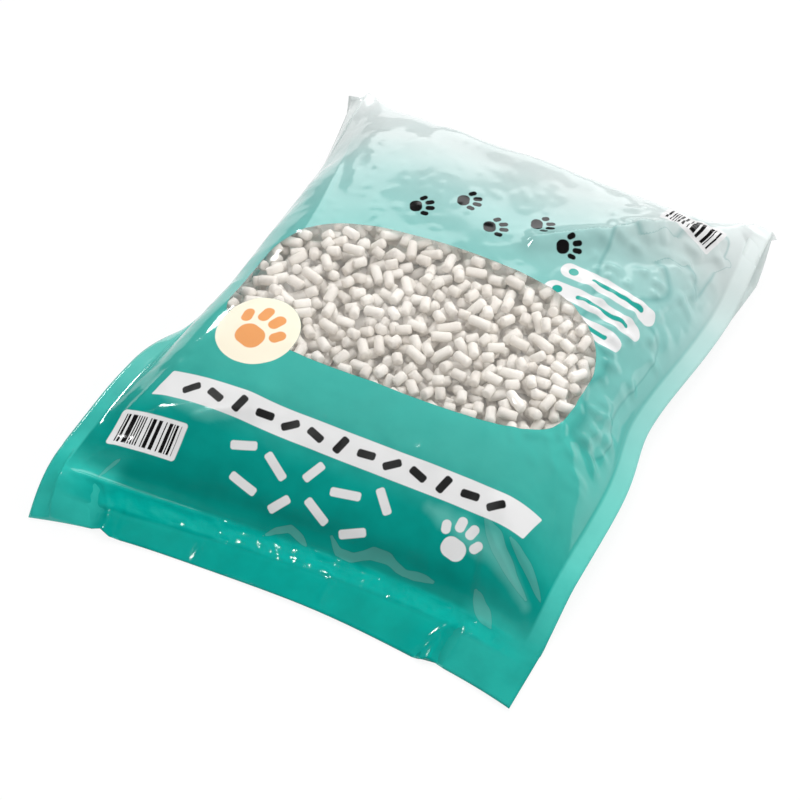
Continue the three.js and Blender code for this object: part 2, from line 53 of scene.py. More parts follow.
# %% Camera
VIEW_AZIMUTH = math.radians(26.74)
VIEW_ELEVATION = math.radians(46.5)
VIEW_DISTANCE = 1.516
VIEW_TARGET = np.array([0.0055, -0.0356, 0.0218])
LENS_PIXELS = 2620
IMAGE_PIXELS = 800
SENSOR_WIDTH = 36.0

back = np.array([
    math.sin(VIEW_AZIMUTH) * math.cos(VIEW_ELEVATION),
    -math.cos(VIEW_AZIMUTH) * math.cos(VIEW_ELEVATION),
    math.sin(VIEW_ELEVATION),
])
camera = bpy.data.objects.new("camera", bpy.data.cameras.new("camera"))
bpy.context.scene.collection.objects.link(camera)
camera.location = VIEW_TARGET + VIEW_DISTANCE * back
camera.rotation_euler = (math.pi / 2 - VIEW_ELEVATION, 0, VIEW_AZIMUTH)
camera.data.sensor_width = SENSOR_WIDTH
camera.data.lens = SENSOR_WIDTH * LENS_PIXELS / IMAGE_PIXELS
bpy.context.scene.camera = camera
print("camera at", [round(c, 3) for c in camera.location], "lens", round(camera.data.lens, 1))

# %% [markdown]
# The film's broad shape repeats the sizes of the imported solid, in millimetres: a pillow between two welded
# end seals, with a fin along each long edge. It could be sculpted or simulated, but the form follows a few
# plain rules, so it is drawn as rows of points from the front cut edge to the rear one.

# %% Sizes of the bag, in millimetres
BAG_WIDTH = 300
BAG_LENGTH = 388
CROWN_HEIGHT = 60
FLANK_POWER = 7
SEAL_POWER = 2
FRONT_RISE = 130
REAR_RISE = 50
FIN_WIDTH = 11.5
FIN_END_DROOP = 12
LEFT_FIN_DROOP = 6
LEFT_FIN_HANG = 80
LEFT_FIN_TURN = (0.22, 0.44)
RIGHT_FIN_DROOP = 14
LEFT_WAIST = 11
LEFT_WAIST_START = 0.12
LEFT_WAIST_END = 0.5
LEFT_EDGE_HEIGHT = 25
RIGHT_EDGE_HEIGHT = 14
EDGE_RISE = 0.14
EDGE_END_RISE = 0.2
BACK_TUCK = 9
GUSSET_TUCK = 9
GUSSET_END_TUCK = 2
FRONT_SEAL_DEPTH = 29
FRONT_SEAL_SKEW = 0.06
FRONT_PULL = 16
FRONT_PULL_POWER = 2.5
FRONT_SEAL_HEIGHT = 8
LEFT_EAR_HEIGHT = 25
RIGHT_EAR_HEIGHT = 4
FRONT_LIFT = 25
REAR_SEAL_REACH = 4
REAR_PULL = 18
REAR_PULL_SKEW = 0.4
REAR_PULL_POWER = 4
REAR_SEAL_HEIGHT = 26
LEFT_REAR_EAR_HEIGHT = 38
RIGHT_REAR_EAR_HEIGHT = 35
REAR_LIFT = 22
DENT_DEPTH = 9
DENT_FROM_SEAL = 178
DENT_SPREAD = (40, 64)
FACE_FOLDS = [
    # path in shares of the half width and half length, height as a share of the crown,
    # spread as a share of the half width
    ([(-0.853, -0.66), (-0.64, -0.588), (-0.413, -0.474)], 0.067, 0.087),
    ([(0.24, 0.433), (0.487, 0.557), (0.66, 0.711), (0.827, 0.794)], 0.083, 0.06),
    ([(0.613, 0.515), (0.773, 0.66), (0.893, 0.763)], -0.05, 0.053),
    ([(0.813, -0.32), (0.667, -0.041)], 0.067, 0.08),
    ([(0.613, -0.608), (0.647, -0.722), (0.673, -0.784)], -0.05, 0.053),
    ([(0.667, -0.505), (0.787, -0.588), (0.893, -0.66)], 0.05, 0.06),
    ([(-0.853, 0.206), (-0.747, 0.412), (-0.693, 0.67)], 0.042, 0.067),
    ([(-0.4, 0.814), (-0.133, 0.773), (0.267, 0.784)], 0.042, 0.06),
]
WINDOW_WIDTH = 214
WINDOW_LENGTH = 124
FIN_THICKNESS = 0.24
SEAL_THICKNESS = 0.6
HALF_WIDTH = BAG_WIDTH / 2
HALF_LENGTH = BAG_LENGTH / 2
print("bag", BAG_WIDTH, "x", BAG_LENGTH, "mm")


# %% Helpers for smooth steps and smooth random fields
def blend(a, b, share):
    return a + (b - a) * share


def ramp(start, end, value):
    t = np.clip((value - start) / (end - start), 0, 1)
    return t * t * (3 - 2 * t)


def soft_noise(x, y, cell, seed):
    """A smooth random field from -1 to 1, with one free value for each cell."""
    lattice = np.random.default_rng(seed).uniform(-1, 1, (64, 64))
    gx, gy = x / cell + 16, y / cell + 16
    ix, iy = np.floor(gx).astype(int), np.floor(gy).astype(int)
    fx, fy = gx - ix, gy - iy
    fx, fy = fx * fx * (3 - 2 * fx), fy * fy * (3 - 2 * fy)
    at = lambda i, j: lattice[i % 64, j % 64]
    low = blend(at(ix, iy), at(ix + 1, iy), fx)
    high = blend(at(ix, iy + 1), at(ix + 1, iy + 1), fx)
    return blend(low, high, fy)


def near_path(x, y, path):
    """Distance to a path, the side of it (1 is left), and the share of its length at the nearest point."""
    path = np.array(path, float)
    lengths = np.linalg.norm(np.diff(path, axis=0), axis=1)
    done = np.concatenate([[0], np.cumsum(lengths)])
    best, side, share = np.full(np.shape(x), 1e9), np.ones(np.shape(x)), np.zeros(np.shape(x))
    for k, length in enumerate(lengths):
        ahead = (path[k + 1] - path[k]) / length
        dx, dy = x - path[k, 0], y - path[k, 1]
        t = np.clip(dx * ahead[0] + dy * ahead[1], 0, length)
        gap = np.hypot(dx - t * ahead[0], dy - t * ahead[1])
        closer = gap < best
        best = np.where(closer, gap, best)
        side = np.where(closer, np.sign(ahead[0] * dy - ahead[1] * dx), side)
        share = np.where(closer, (done[k] + t) / done[-1], share)
    return best, side, share


print("a smooth step, half way up:", ramp(0, 2, 1.0))


# %% The plan of the bag
def end_pull(x, power):
    return np.maximum(0, 1 - np.abs(x / HALF_WIDTH) ** power)


def front_edge(x):
    return -HALF_LENGTH + FRONT_PULL * end_pull(x, FRONT_PULL_POWER)


def front_line(x):
    return front_edge(x) + FRONT_SEAL_DEPTH + FRONT_SEAL_SKEW * x


def rear_line(x):
    pull = REAR_PULL * end_pull(x, REAR_PULL_POWER) * (1 + REAR_PULL_SKEW * x / HALF_WIDTH)
    return HALF_LENGTH - pull - REAR_SEAL_REACH


def body_length(x):
    return rear_line(x) - front_line(x)


def midness(along):
    return np.sin(np.pi * np.clip(along, 0, 1))


def root_half(along, side):
    """Half width of the face where its fin starts. The left side is drawn in, the right one has a kink."""
    ear_length = body_length(HALF_WIDTH)
    off = along * ear_length - DENT_FROM_SEAL
    dent = DENT_DEPTH * np.exp(-((off / np.where(off < 0, *DENT_SPREAD)) ** 2))
    waist = LEFT_WAIST * ramp(LEFT_WAIST_START, LEFT_WAIST_END, along)
    end_half = HALF_WIDTH - FIN_WIDTH * math.cos(math.radians(FIN_END_DROOP))
    return end_half - np.where(side > 0, dent, waist)


def back_half(along, side):
    return root_half(along, side) - BACK_TUCK * midness(along)


print("half width at the middle: left", root_half(0.5, -1).round(1), "right", root_half(0.5, 1).round(1))


# %% Heights of the face and the back
def root_height(along, side):
    """Height of the face's long edge, low at the front seal and high at the rear one."""
    middle = np.where(side > 0, RIGHT_EDGE_HEIGHT, LEFT_EDGE_HEIGHT)
    ear = np.where(side > 0, RIGHT_EAR_HEIGHT, LEFT_EAR_HEIGHT)
    front = blend(ear, middle, ramp(0, EDGE_RISE, along))
    rear_ear = np.where(side > 0, RIGHT_REAR_EAR_HEIGHT, LEFT_REAR_EAR_HEIGHT)
    return blend(front, rear_ear, ramp(1 - EDGE_END_RISE, 1, along))


def fill_share(x, along):
    front = np.clip(along * body_length(x) / FRONT_RISE, 0, 1)
    rear = np.clip((1 - along) * body_length(x) / REAR_RISE, 0, 1)
    return (1 - (1 - front) ** 2) * np.sqrt(1 - (1 - rear) ** 3)


def place_across(u, along):
    x = u * root_half(along, np.sign(u))
    return x, blend(front_line(x), rear_line(x), along)


def fold_height(x, y):
    total = 0 * x
    for path, height, spread in FACE_FOLDS:
        gap, _, _ = near_path(x, y, np.array(path) * (HALF_WIDTH, HALF_LENGTH))
        total = total + height * CROWN_HEIGHT * np.exp(-((gap / (spread * HALF_WIDTH)) ** 2))
    return total


def face_height(u, along):
    x, y = place_across(u, along)
    share = fill_share(x, along)
    seal = blend(FRONT_SEAL_HEIGHT, REAR_SEAL_HEIGHT, along)
    crown = seal + (CROWN_HEIGHT - seal) * share
    root = blend(root_height(along, -1), root_height(along, 1), (1 + u) / 2)
    flank = 1 - np.abs(u) ** blend(SEAL_POWER, FLANK_POWER, np.sqrt(midness(along)))
    return root + (crown - root) * flank + fold_height(x, y) * share * flank


def back_height(u, along):
    x, _ = place_across(u, along)
    front = np.clip(1 - along * body_length(x) / FRONT_LIFT, 0, 1) ** 2
    rear = np.clip(1 - (1 - along) * body_length(x) / REAR_LIFT, 0, 1) ** 2
    return front * (face_height(u, 0) - SEAL_THICKNESS) + rear * (face_height(u, 1) - SEAL_THICKNESS)


def face_point(x, y):
    """The film's broad face above a place on the floor."""
    along = np.clip((y - front_line(x)) / body_length(x), 0, 1)
    u = np.clip(x / root_half(along, np.sign(x)), -1, 1)
    return np.stack([x, y, face_height(u, along)], -1)


def face_normal(x, y, step=3.0):
    slope_x = (face_point(x + step, y) - face_point(x - step, y))[..., 2] / (2 * step)
    slope_y = (face_point(x, y + step) - face_point(x, y - step))[..., 2] / (2 * step)
    normal = np.stack([-slope_x, -slope_y, np.ones_like(slope_x)], -1)
    return normal / np.linalg.norm(normal, axis=-1, keepdims=True)


print("crown", face_point(np.array([0.0]), np.array([20.0]))[0].round(1))

# %% [markdown]
# The pellets come first, because the film lies on them and takes their print. A rigid-body simulation would
# settle two thousand of them, but slowly. Here each one is dropped into a tray whose floor is the film
# turned over: a few random places are tried, and the pellet stays in the one where it sinks deepest. So the
# first layer touches the film, as it does in a full bag, and the next ones fill the gaps behind it.

# %% Sizes of the pellets, and the tray they fall into
PELLET_RADIUS = 3.05
PELLET_LENGTHS = (6.5, 14.5)
PELLET_SHORTNESS = 1.4
PELLET_TILT = math.radians(45)
PELLET_SEED = 7
PELLET_END_ROUND = 0.45
PELLET_MARGIN = 4.0
TRAY_STEP = 0.5
TRAY_X = (-HALF_WIDTH, HALF_WIDTH)
TRAY_Y = (-HALF_LENGTH, HALF_LENGTH)
TRIES = 12
WINDOW_FIRST = 440
FACE_COUNT = 1450
WINDOW_REST = 420
REST_MARGIN = 14.0

tray_shape = (round(BAG_LENGTH / TRAY_STEP) + 1, round(BAG_WIDTH / TRAY_STEP) + 1)
piled = np.zeros(tray_shape)
nearest = np.full(tray_shape, 9.0)


def number_sequence(state):
    """Numbers from 0 to 1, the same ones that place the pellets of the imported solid."""
    while True:
        state = (state * 1664525 + 1013904223) % 2 ** 32
        yield state / 2 ** 32


numbers = number_sequence(PELLET_SEED)
print("tray cells:", tray_shape)


# %% Dropping the pellets
def pellet_patch(x, y, yaw, tilt, length):
    """The patch of tray under a pellet, with its underside and upper side about its own centre."""
    reach = length / 2 + PELLET_RADIUS
    i0 = max(0, int((y - reach - TRAY_Y[0]) / TRAY_STEP))
    i1 = min(tray_shape[0], int((y + reach - TRAY_Y[0]) / TRAY_STEP) + 2)
    j0 = max(0, int((x - reach - TRAY_X[0]) / TRAY_STEP))
    j1 = min(tray_shape[1], int((x + reach - TRAY_X[0]) / TRAY_STEP) + 2)
    dy = (np.arange(i0, i1) * TRAY_STEP + TRAY_Y[0] - y)[:, None]
    dx = (np.arange(j0, j1) * TRAY_STEP + TRAY_X[0] - x)[None, :]
    lengthwise = dx * math.cos(yaw) + dy * math.sin(yaw)
    sideways = -dx * math.sin(yaw) + dy * math.cos(yaw)
    half = length / 2 - PELLET_END_ROUND * PELLET_RADIUS
    on_axis = np.clip(lengthwise / math.cos(tilt), -half, half)
    off_axis = sideways ** 2 + (lengthwise - on_axis * math.cos(tilt)) ** 2
    thick = np.sqrt(np.maximum(0, PELLET_RADIUS ** 2 - off_axis))
    under = on_axis * math.sin(tilt) - thick
    over = on_axis * math.sin(tilt) + thick
    return (slice(i0, i1), slice(j0, j1)), off_axis < PELLET_RADIUS ** 2, under, over


def drop_pellet(half_x, half_y):
    length = blend(*PELLET_LENGTHS, next(numbers) ** PELLET_SHORTNESS)
    best = None
    for _ in range(TRIES):
        x, y = blend(-half_x, half_x, next(numbers)), blend(-half_y, half_y, next(numbers))
        yaw, tilt = math.pi * next(numbers), blend(-PELLET_TILT, PELLET_TILT, next(numbers))
        patch, covered, under, over = pellet_patch(x, y, yaw, tilt, length)
        depth = np.max(np.where(covered, piled[patch] - under, 0))
        if best is None or depth < best[0]:
            best = (depth, x, y, yaw, tilt, patch, covered, under, over)
    depth, x, y, yaw, tilt, patch, covered, under, over = best
    piled[patch] = np.where(covered, np.maximum(piled[patch], depth + over), piled[patch])
    nearest[patch] = np.where(covered, np.minimum(nearest[patch], depth + under), nearest[patch])
    return x, y, depth, yaw, tilt, length


def window_half(margin):
    return WINDOW_WIDTH / 2 + margin, WINDOW_LENGTH / 2 + margin


dropped = [drop_pellet(*window_half(PELLET_MARGIN)) for _ in range(WINDOW_FIRST)]
dropped += [drop_pellet(HALF_WIDTH, HALF_LENGTH) for _ in range(FACE_COUNT)]
dropped += [drop_pellet(*window_half(REST_MARGIN)) for _ in range(WINDOW_REST)]
dropped = np.array(dropped)
print("pellets dropped:", len(dropped), "deepest", dropped[:, 2].max().round(1), "mm")

# %% [markdown]
# A plastic film doesn't follow every gap between the pellets. It rests on their tops and sags a little
# between them. The sag is the distance to the nearest pellet, cut off and blurred. Some areas of the film
# cling to the pellets and show them, and others stand off in a smooth skin, with a clear border between the
# two. On the right side the film is pulled tight, and pellets that lie deeper print through it too.

# %% Film resting on the pellets
SAG_LIMIT = 2.0
SAG_SHARE = 0.55
SAG_BLUR = 1.3
PRINT_LIMIT = 5.0
PRINT_SHARE = 0.3


def blurred(grid, sigma):
    fy = np.fft.fftfreq(grid.shape[0])[:, None]
    fx = np.fft.fftfreq(grid.shape[1])[None, :]
    kernel = np.exp(-2 * (math.pi * sigma / TRAY_STEP) ** 2 * (fx ** 2 + fy ** 2))
    return np.real(np.fft.ifft2(np.fft.fft2(grid) * kernel))


def tray_sample(grid, x, y):
    gx = np.clip((x - TRAY_X[0]) / TRAY_STEP, 0, tray_shape[1] - 1.001)
    gy = np.clip((y - TRAY_Y[0]) / TRAY_STEP, 0, tray_shape[0] - 1.001)
    j, i = gx.astype(int), gy.astype(int)
    fx, fy = gx - j, gy - i
    low = blend(grid[i, j], grid[i, j + 1], fx)
    high = blend(grid[i + 1, j], grid[i + 1, j + 1], fx)
    return blend(low, high, fy)


sag_grid = SAG_SHARE * blurred(np.minimum(nearest, SAG_LIMIT), SAG_BLUR)
print_grid = blurred(np.minimum(nearest, PRINT_LIMIT), SAG_BLUR)
print_grid = print_grid - print_grid.mean()
print("film sag", sag_grid.min().round(2), "to", sag_grid.max().round(2), "mm")

# %% [markdown]
# Now the film itself. One closed loop of points goes round each cross-section: the back, the fin of the
# back, the gusset folded in between, the fin of the face, the face, and the same on the other side. In the
# end seals all the layers lie welded together, so there the loop closes to a thin strip.

# %% Rows and columns of the film
FRONT_ROWS = 26
BODY_ROWS = 250
REAR_ROWS = 16
FACE_COLUMNS = 221
BACK_COLUMNS = 24

fin_steps = np.array([0, 0.25, 0.5, 0.75, 1.0])
fin_top_steps = np.array([1.0, 0.85, 0.68, 0.5, 0.32, 0.15])
gusset_steps = np.linspace(0, 1, 9)
spread = np.linspace(-1, 1, FACE_COLUMNS)
face_u = -(0.6 * spread + 0.4 * np.sin(spread * math.pi / 2))
back_u = np.sin(np.linspace(0, 1, BACK_COLUMNS) * math.pi / 2)
row_share = np.linspace(0, 1, BODY_ROWS)
body_along = 0.75 * row_share + 0.25 * (1 - np.cos(row_share * math.pi)) / 2
print("rows:", FRONT_ROWS + BODY_ROWS + REAR_ROWS, "columns of the face:", FACE_COLUMNS)


# %% Fins, gussets and sheets
def fin_droop(along, side):
    turned = ramp(*LEFT_FIN_TURN, along) if side < 0 else 0 * along
    free = blend(LEFT_FIN_DROOP if side < 0 else RIGHT_FIN_DROOP, LEFT_FIN_HANG, turned)
    return np.radians(blend(FIN_END_DROOP, free, midness(along) ** 0.3))


def fin_point(along, side, out, below):
    droop = fin_droop(along, side)
    root = root_half(along, side)
    x = root + out * np.cos(droop) - below * np.sin(droop)
    y = blend(front_line(root), rear_line(root), along) + 0 * x
    return np.stack([side * x, y, root_height(along, side) - out * np.sin(droop) - below * np.cos(droop)], -1)


def back_fin_point(along, side, out, above):
    root = back_half(along, side)
    face_root = root_half(along, side)
    y = blend(front_line(face_root), rear_line(face_root), along)
    low = back_height(side * np.ones_like(along), along)
    drop = math.sin(math.radians(FIN_END_DROOP)) * (1 - midness(along)) ** 2
    z = np.maximum(0, low - out * drop) + above
    return np.stack([side * (root + out), y + 0 * out, z], -1)


def side_columns(along, side):
    """From the back's long edge to the face's: the back's fin, the gusset, and the face's fin."""
    a = along[:, None]
    tips = FIN_WIDTH * fin_steps[None, 1:]
    back_under = back_fin_point(a, side, tips, 0)
    back_over = back_fin_point(a, side, tips[:, ::-1], FIN_THICKNESS)
    start = back_fin_point(a, side, np.zeros((1, 1)), FIN_THICKNESS)
    end = fin_point(a, side, np.zeros((1, 1)), FIN_THICKNESS)
    tuck = blend(GUSSET_END_TUCK, GUSSET_TUCK, midness(a))
    fold = (start + end) / 2
    fold[..., 0] = side * (root_half(a, side) - 2 * tuck)
    t = gusset_steps[None, :, None]
    gusset = (1 - t) ** 2 * start + 2 * t * (1 - t) * fold + t ** 2 * end
    face_under = fin_point(a, side, tips, FIN_THICKNESS)
    face_over = fin_point(a, side, FIN_WIDTH * fin_top_steps[None, :], 0 * a)
    return [back_under, back_over, gusset, face_under, face_over]


def sheet_points(u, along, height):
    a = along[:, None]
    x, y = place_across(u[None, :] + 0 * a, a)
    return np.stack([x, y, height(u[None, :] + 0 * a, a)], -1)


def back_points(u, along):
    points = sheet_points(u, along, back_height)
    points[..., 0] = u[None, :] * back_half(along[:, None], np.sign(u)[None, :])
    return points


print("droop of the left fin:", np.degrees(fin_droop(body_along, -1)).max().round(), "degrees")

# %% The loop of columns between the welds
right = side_columns(body_along, 1)
left = [part[:, ::-1] for part in side_columns(body_along, -1)[::-1]]
parts = [
    ("back", back_points(back_u, body_along)),
    ("back fin", right[0]), ("hidden", right[1]), ("hidden", right[2]), ("hidden", right[3]),
    ("face fin", right[4]), ("face", sheet_points(face_u, body_along, face_height)), ("face fin", left[0]),
    ("hidden", left[1]), ("hidden", left[2]), ("hidden", left[3]), ("back fin", left[4]),
    ("back", back_points(-back_u[:0:-1], body_along)),
]
columns = np.concatenate([[name] * part.shape[1] for name, part in parts])
body_rows = np.concatenate([part for _, part in parts], axis=1)
print("film rows", body_rows.shape, "columns by part:", {n: int((columns == n).sum()) for n in set(columns)})

# %% [markdown]
# The welded strips at both ends continue the same columns. The top layer and the bottom layer run on to the
# cut edge, and the hidden columns in between close up at the ends of the strip. The front strip lies nearly
# flat. The rear strip hangs down to the floor behind the bag.

# %% End seals
PLEATS = (-106.0, 97.0)
PLEAT_HEIGHT = 4.0
PLEAT_WIDTH = 7.0
PLEAT_JOG = 3.0
REAR_EAR_FALL = 0.45
upper = np.isin(columns, ["face", "face fin"])


def strip_rows(line_row, cut_y, shares, profile, lift):
    """Rows of a strip from its weld line to its cut edge, for shares of its depth."""
    rows = []
    left_tip, right_tip = line_row[upper, 0].min(), line_row[upper, 0].max()
    for share in shares:
        row = line_row.copy()
        tip = np.where(line_row[:, 0] > 0, right_tip, left_tip)
        row[:, 0] = np.where(columns == "hidden", tip, np.clip(line_row[:, 0], left_tip, right_tip))
        fall = profile(row[:, 0], share)
        top = blend(line_row[:, 2], SEAL_THICKNESS, fall) + lift(row[:, 0], share)
        order = np.argsort(row[upper, 0])
        top_of_ear = np.interp(row[:, 0], row[upper, 0][order], top[upper][order])
        row[:, 1] = blend(line_row[:, 1], cut_y(row[:, 0]), share)
        row[:, 2] = np.where(upper, top, top_of_ear - SEAL_THICKNESS)
        row[columns == "hidden", 2] += SEAL_THICKNESS / 2
        rows.append(row)
    return np.array(rows)


def front_cut(x):
    between = ramp(PLEATS[0] - 4, PLEATS[0] + 4, x) * ramp(PLEATS[1] + 4, PLEATS[1] - 4, x)
    return front_edge(x) - PLEAT_JOG * between


def front_pleats(x, share):
    off = np.minimum(np.abs(x - PLEATS[0]), np.abs(x - PLEATS[1]))
    wave = 0.8 * (1 + np.sin(x / 21.0 + 0.6)) * share
    return PLEAT_HEIGHT * share * np.maximum(0, 1 - off / PLEAT_WIDTH) ** 1.3 + wave


def front_fall(x, share):
    return share ** blend(0.8, 2.2, ramp(PLEATS[0], -HALF_WIDTH, x))


def rear_cut(x):
    return rear_line(x) + REAR_SEAL_REACH


def rear_fall(x, share):
    return share * blend(1, REAR_EAR_FALL, ramp(0.8 * HALF_WIDTH, HALF_WIDTH, np.abs(x)))


front_shares = np.linspace(1, 0, FRONT_ROWS, endpoint=False)
rear_shares = np.linspace(0, 1, REAR_ROWS + 1)[1:]
front_rows = strip_rows(body_rows[0], front_cut, front_shares, front_fall, front_pleats)
rear_rows = strip_rows(body_rows[-1], rear_cut, rear_shares, rear_fall, lambda x, s: 0 * x)
film = np.concatenate([front_rows, body_rows, rear_rows])
along_rows = np.concatenate([np.zeros(FRONT_ROWS), body_along, np.ones(REAR_ROWS)])
print("film grid", film.shape, "height", film[..., 2].min().round(2), film[..., 2].max().round(2))


# %% Flat film coordinates, for the print
def path_length(points, axis):
    step = np.linalg.norm(np.diff(points, axis=axis), axis=-1)
    return np.insert(np.cumsum(step, axis=axis), 0, 0, axis=axis)


closed = np.concatenate([film, film[:, :1]], axis=1)
face_columns = np.flatnonzero(columns == "face")
centre_column = int(face_columns[FACE_COLUMNS // 2])
around = path_length(closed, 1)
flat_x = around[:, centre_column:centre_column + 1] - around
lengthwise = path_length(closed, 0)
middle_row = np.argmin(np.abs(closed[..., 1]), axis=0)
zero = np.take_along_axis(lengthwise, middle_row[None, :], 0)
zero_y = np.take_along_axis(closed[..., 1], middle_row[None, :], 0)
flat_y = lengthwise - zero + zero_y
for name, field in [("across", flat_x), ("along", flat_y)]:
    print("flat film", name, field.min().round(), "to", field.max().round(), "mm")

# %% Outline of the window
WINDOW_CENTRE = (0.0, -10.0)
WINDOW_HALF = (110.0, 49.0, 68.0)
WINDOW_POWERS = (4.0, 2.6)


def window_level(x, y):
    """Below 1 inside the window. The front half is nearly square and the rear half is an arch."""
    across = np.abs(x - WINDOW_CENTRE[0]) / WINDOW_HALF[0]
    off = y - WINDOW_CENTRE[1]
    front = across ** WINDOW_POWERS[0] + np.abs(off / WINDOW_HALF[1]) ** WINDOW_POWERS[0]
    rear = across ** WINDOW_POWERS[1] + np.abs(off / WINDOW_HALF[2]) ** WINDOW_POWERS[1]
    return np.where(off < 0, front, rear)


print("window", 2 * WINDOW_HALF[0], "by", WINDOW_HALF[1] + WINDOW_HALF[2], "mm")

# %% [markdown]
# Creases give a film its look. Each one is a short path on the face, with a height and a width, and fades
# out at both ends. They could come from a cloth simulation, but a list puts them where this bag has them:
# along the welds, at the corners, and where the slack film folds over.

# %% Creases
CREASES = [
    # path over the floor, height, width of the left slope and of the right slope
    ([(36, 84), (53, 95), (73, 108), (99, 138), (110, 152)], 4.0, (1.2, 9.0)),
    ([(110, 152), (118, 155), (127, 151)], 3.0, (1.2, 6.0)),
    ([(86, 100), (98, 105), (114, 120), (133, 149)], -1.2, (1.5, 3.0)),
    ([(118, 75), (124, 95), (128, 110), (136, 126)], -1.0, (1.5, 3.0)),
    ([(129, 130), (125, 114), (120, 100)], -0.8, (1.5, 2.5)),
    ([(-135, -171), (-132, -159), (-128, -150), (-121, -142), (-110, -134)], 2.4, (2.0, 4.0)),
    ([(-57, -99), (-76, -107), (-88, -115), (-92, -122)], 1.4, (4.0, 1.5)),
    ([(92, -104), (105, -115), (119, -125), (130, -131)], 1.6, (1.5, 6.0)),
    ([(106, -107), (124, -117), (137, -127)], 1.4, (1.5, 5.0)),
    ([(96, -118), (98, -126), (100, -137), (103, -150)], -2.2, (1.5, 5.0)),
    ([(-129, -127), (-125, -121), (-123, -111), (-121, -104), (-118, -92)], 1.6, (1.5, 2.5)),
    ([(110, -60), (124, -20), (118, 20), (126, 60)], 1.4, (2.0, 5.0)),
    ([(104, -48), (118, -66), (128, -92)], 1.2, (2.0, 5.0)),
    ([(-113, 133), (-102, 91), (-96, 60), (-92, 26)], 1.2, (1.5, 6.0)),
    ([(-60, 158), (-20, 150), (40, 152)], 1.2, (2.0, 6.0)),
]
SEAL_CREASES = [
    ([(17, -154), (26, -159), (26, -168), (27, -179)], 1.1, (1.4, 1.4)),
    ([(-52, -168), (-51, -180)], 0.7, (1.2, 1.2)),
    ([(86, -183), (96, -166), (103, -155)], 1.6, (5.0, 1.2)),
    ([(101, -183), (102, -170), (104, -156)], -1.2, (1.2, 4.0)),
    ([(-117, -165), (-111, -171), (-105, -181)], 1.0, (1.2, 1.2)),
    ([(-121, -166), (-117, -175), (-115, -184)], -1.2, (3.0, 2.0)),
    ([(-101, -165), (-98, -172), (-99, -182)], 0.8, (1.0, 1.5)),
    ([(134, 172), (143, 167), (149, 162)], -2.5, (1.5, 3.0)),
    ([(129, 178), (140, 176), (149, 176)], 1.5, (2.0, 2.0)),
]


def crease_height(x, y, creases):
    total = np.zeros(x.shape)
    for path, height, widths in creases:
        gap, side, share = near_path(x, y, path)
        fade = np.sin(np.pi * np.clip(share, 0.04, 0.96)) ** 0.5
        total += height * fade * np.exp(-gap / np.where(side > 0, *widths))
    return total


print("creases:", len(CREASES), "on the face,", len(SEAL_CREASES), "on the strips")

# %% Waves, slack film and the front weld
FILM_WAVES = [(1.2, 38, 8), (0.6, 17, 9)]  # height, length, seed
FACET_BROAD = 0.8
FACET_FINE = 0.25
WELD_LIP = 0.7
WELD_LIP_WIDTH = 2.4
WELD_HOLLOW = 1.3
WELD_HOLLOW_PAST = 8
WELD_HOLLOW_WIDTH = 5
WELD_GROOVE = 0.35
WELD_GROOVE_WIDTH = 1.1
WELD_BAND = 12.5
WELD_CRINKLE = 0.35


def film_lift(x, y):
    """Slow waves and creases of the film over its broad face. The pellets under it follow them."""
    total = crease_height(x, y, CREASES)
    for height, length, seed in FILM_WAVES:
        total = total + height * soft_noise(x, y, length, seed)
    return total


def facets(x, y):
    """Sharp ridges between slack pieces of film."""
    broad = 1 - 2 * np.abs(soft_noise(x + 0.4 * y, y, 34, 21))
    fine = 1 - 2 * np.abs(soft_noise(x, y - 0.3 * x, 15, 22))
    return FACET_BROAD * broad + FACET_FINE * fine


def hump(past, width):
    return np.exp(-((past / width) ** 2))


def in_band(past):
    return ramp(-WELD_BAND, -WELD_BAND + 3, past) * ramp(2, -1, past)


def front_weld(x, y):
    """The lip of the front weld, the hollow behind it, and the groove and the crinkles below it."""
    past = y - front_line(x)
    hollow = WELD_HOLLOW * hump(past - WELD_HOLLOW_PAST, WELD_HOLLOW_WIDTH)
    lip = WELD_LIP * hump(past, WELD_LIP_WIDTH) - hollow
    groove = WELD_GROOVE * hump(past + WELD_BAND, WELD_GROOVE_WIDTH)
    noise = soft_noise(x, 2.2 * y, 7, 31) + 0.7 * soft_noise(1.4 * x, y, 3.4, 32)
    return lip - groove + WELD_CRINKLE * in_band(past) * noise


print("weld band", WELD_BAND, "mm deep")

# %% Relief over the whole film
TIGHT_X = (55, 85)
TIGHT_Y = (-75, -35)
SLACK_SAG = 0.3
TIGHT_SAG = (0.7, 1.7)
REAR_SMOOTH = (176, 145)

x, y = film[..., 0], film[..., 1]
on_face = (columns == "face")[None, :] * np.ones(film.shape[:2])
filled = on_face * fill_share(x, along_rows[:, None]) ** 0.5
edge_share = np.abs(x) / root_half(along_rows[:, None], np.sign(x))
filled = filled * ramp(1.0, 0.93, edge_share)
cling = 0.5 + 0.5 * soft_noise(x, y, 46, 3) + 0.25 * soft_noise(x, y, 19, 4)
clinging = ramp(0.4, 0.6, cling)
tight = ramp(*TIGHT_X, x) * ramp(*TIGHT_Y, y)
sag = tray_sample(sag_grid, x, y) * blend(SLACK_SAG, blend(*TIGHT_SAG, clinging), tight)
sag = sag + tight * PRINT_SHARE * tray_sample(print_grid, x, y)
sag = sag * ramp(*REAR_SMOOTH, y)
slack = np.maximum(ramp(0.68, 0.86, edge_share), ramp(-70, -120, y)) * ramp(1.0, 1.4, window_level(x, y))
slack = np.maximum(slack, ramp(70, 120, y) * ramp(30, 90, x))
relief = filled * (film_lift(x, y) - sag + slack * facets(x, y))
on_top = upper[None, :] * np.ones(film.shape[:2])
near_weld = ramp(1.02, 0.9, edge_share) * on_top
relief = relief + near_weld * front_weld(x, y) + on_top * crease_height(x, y, SEAL_CREASES)

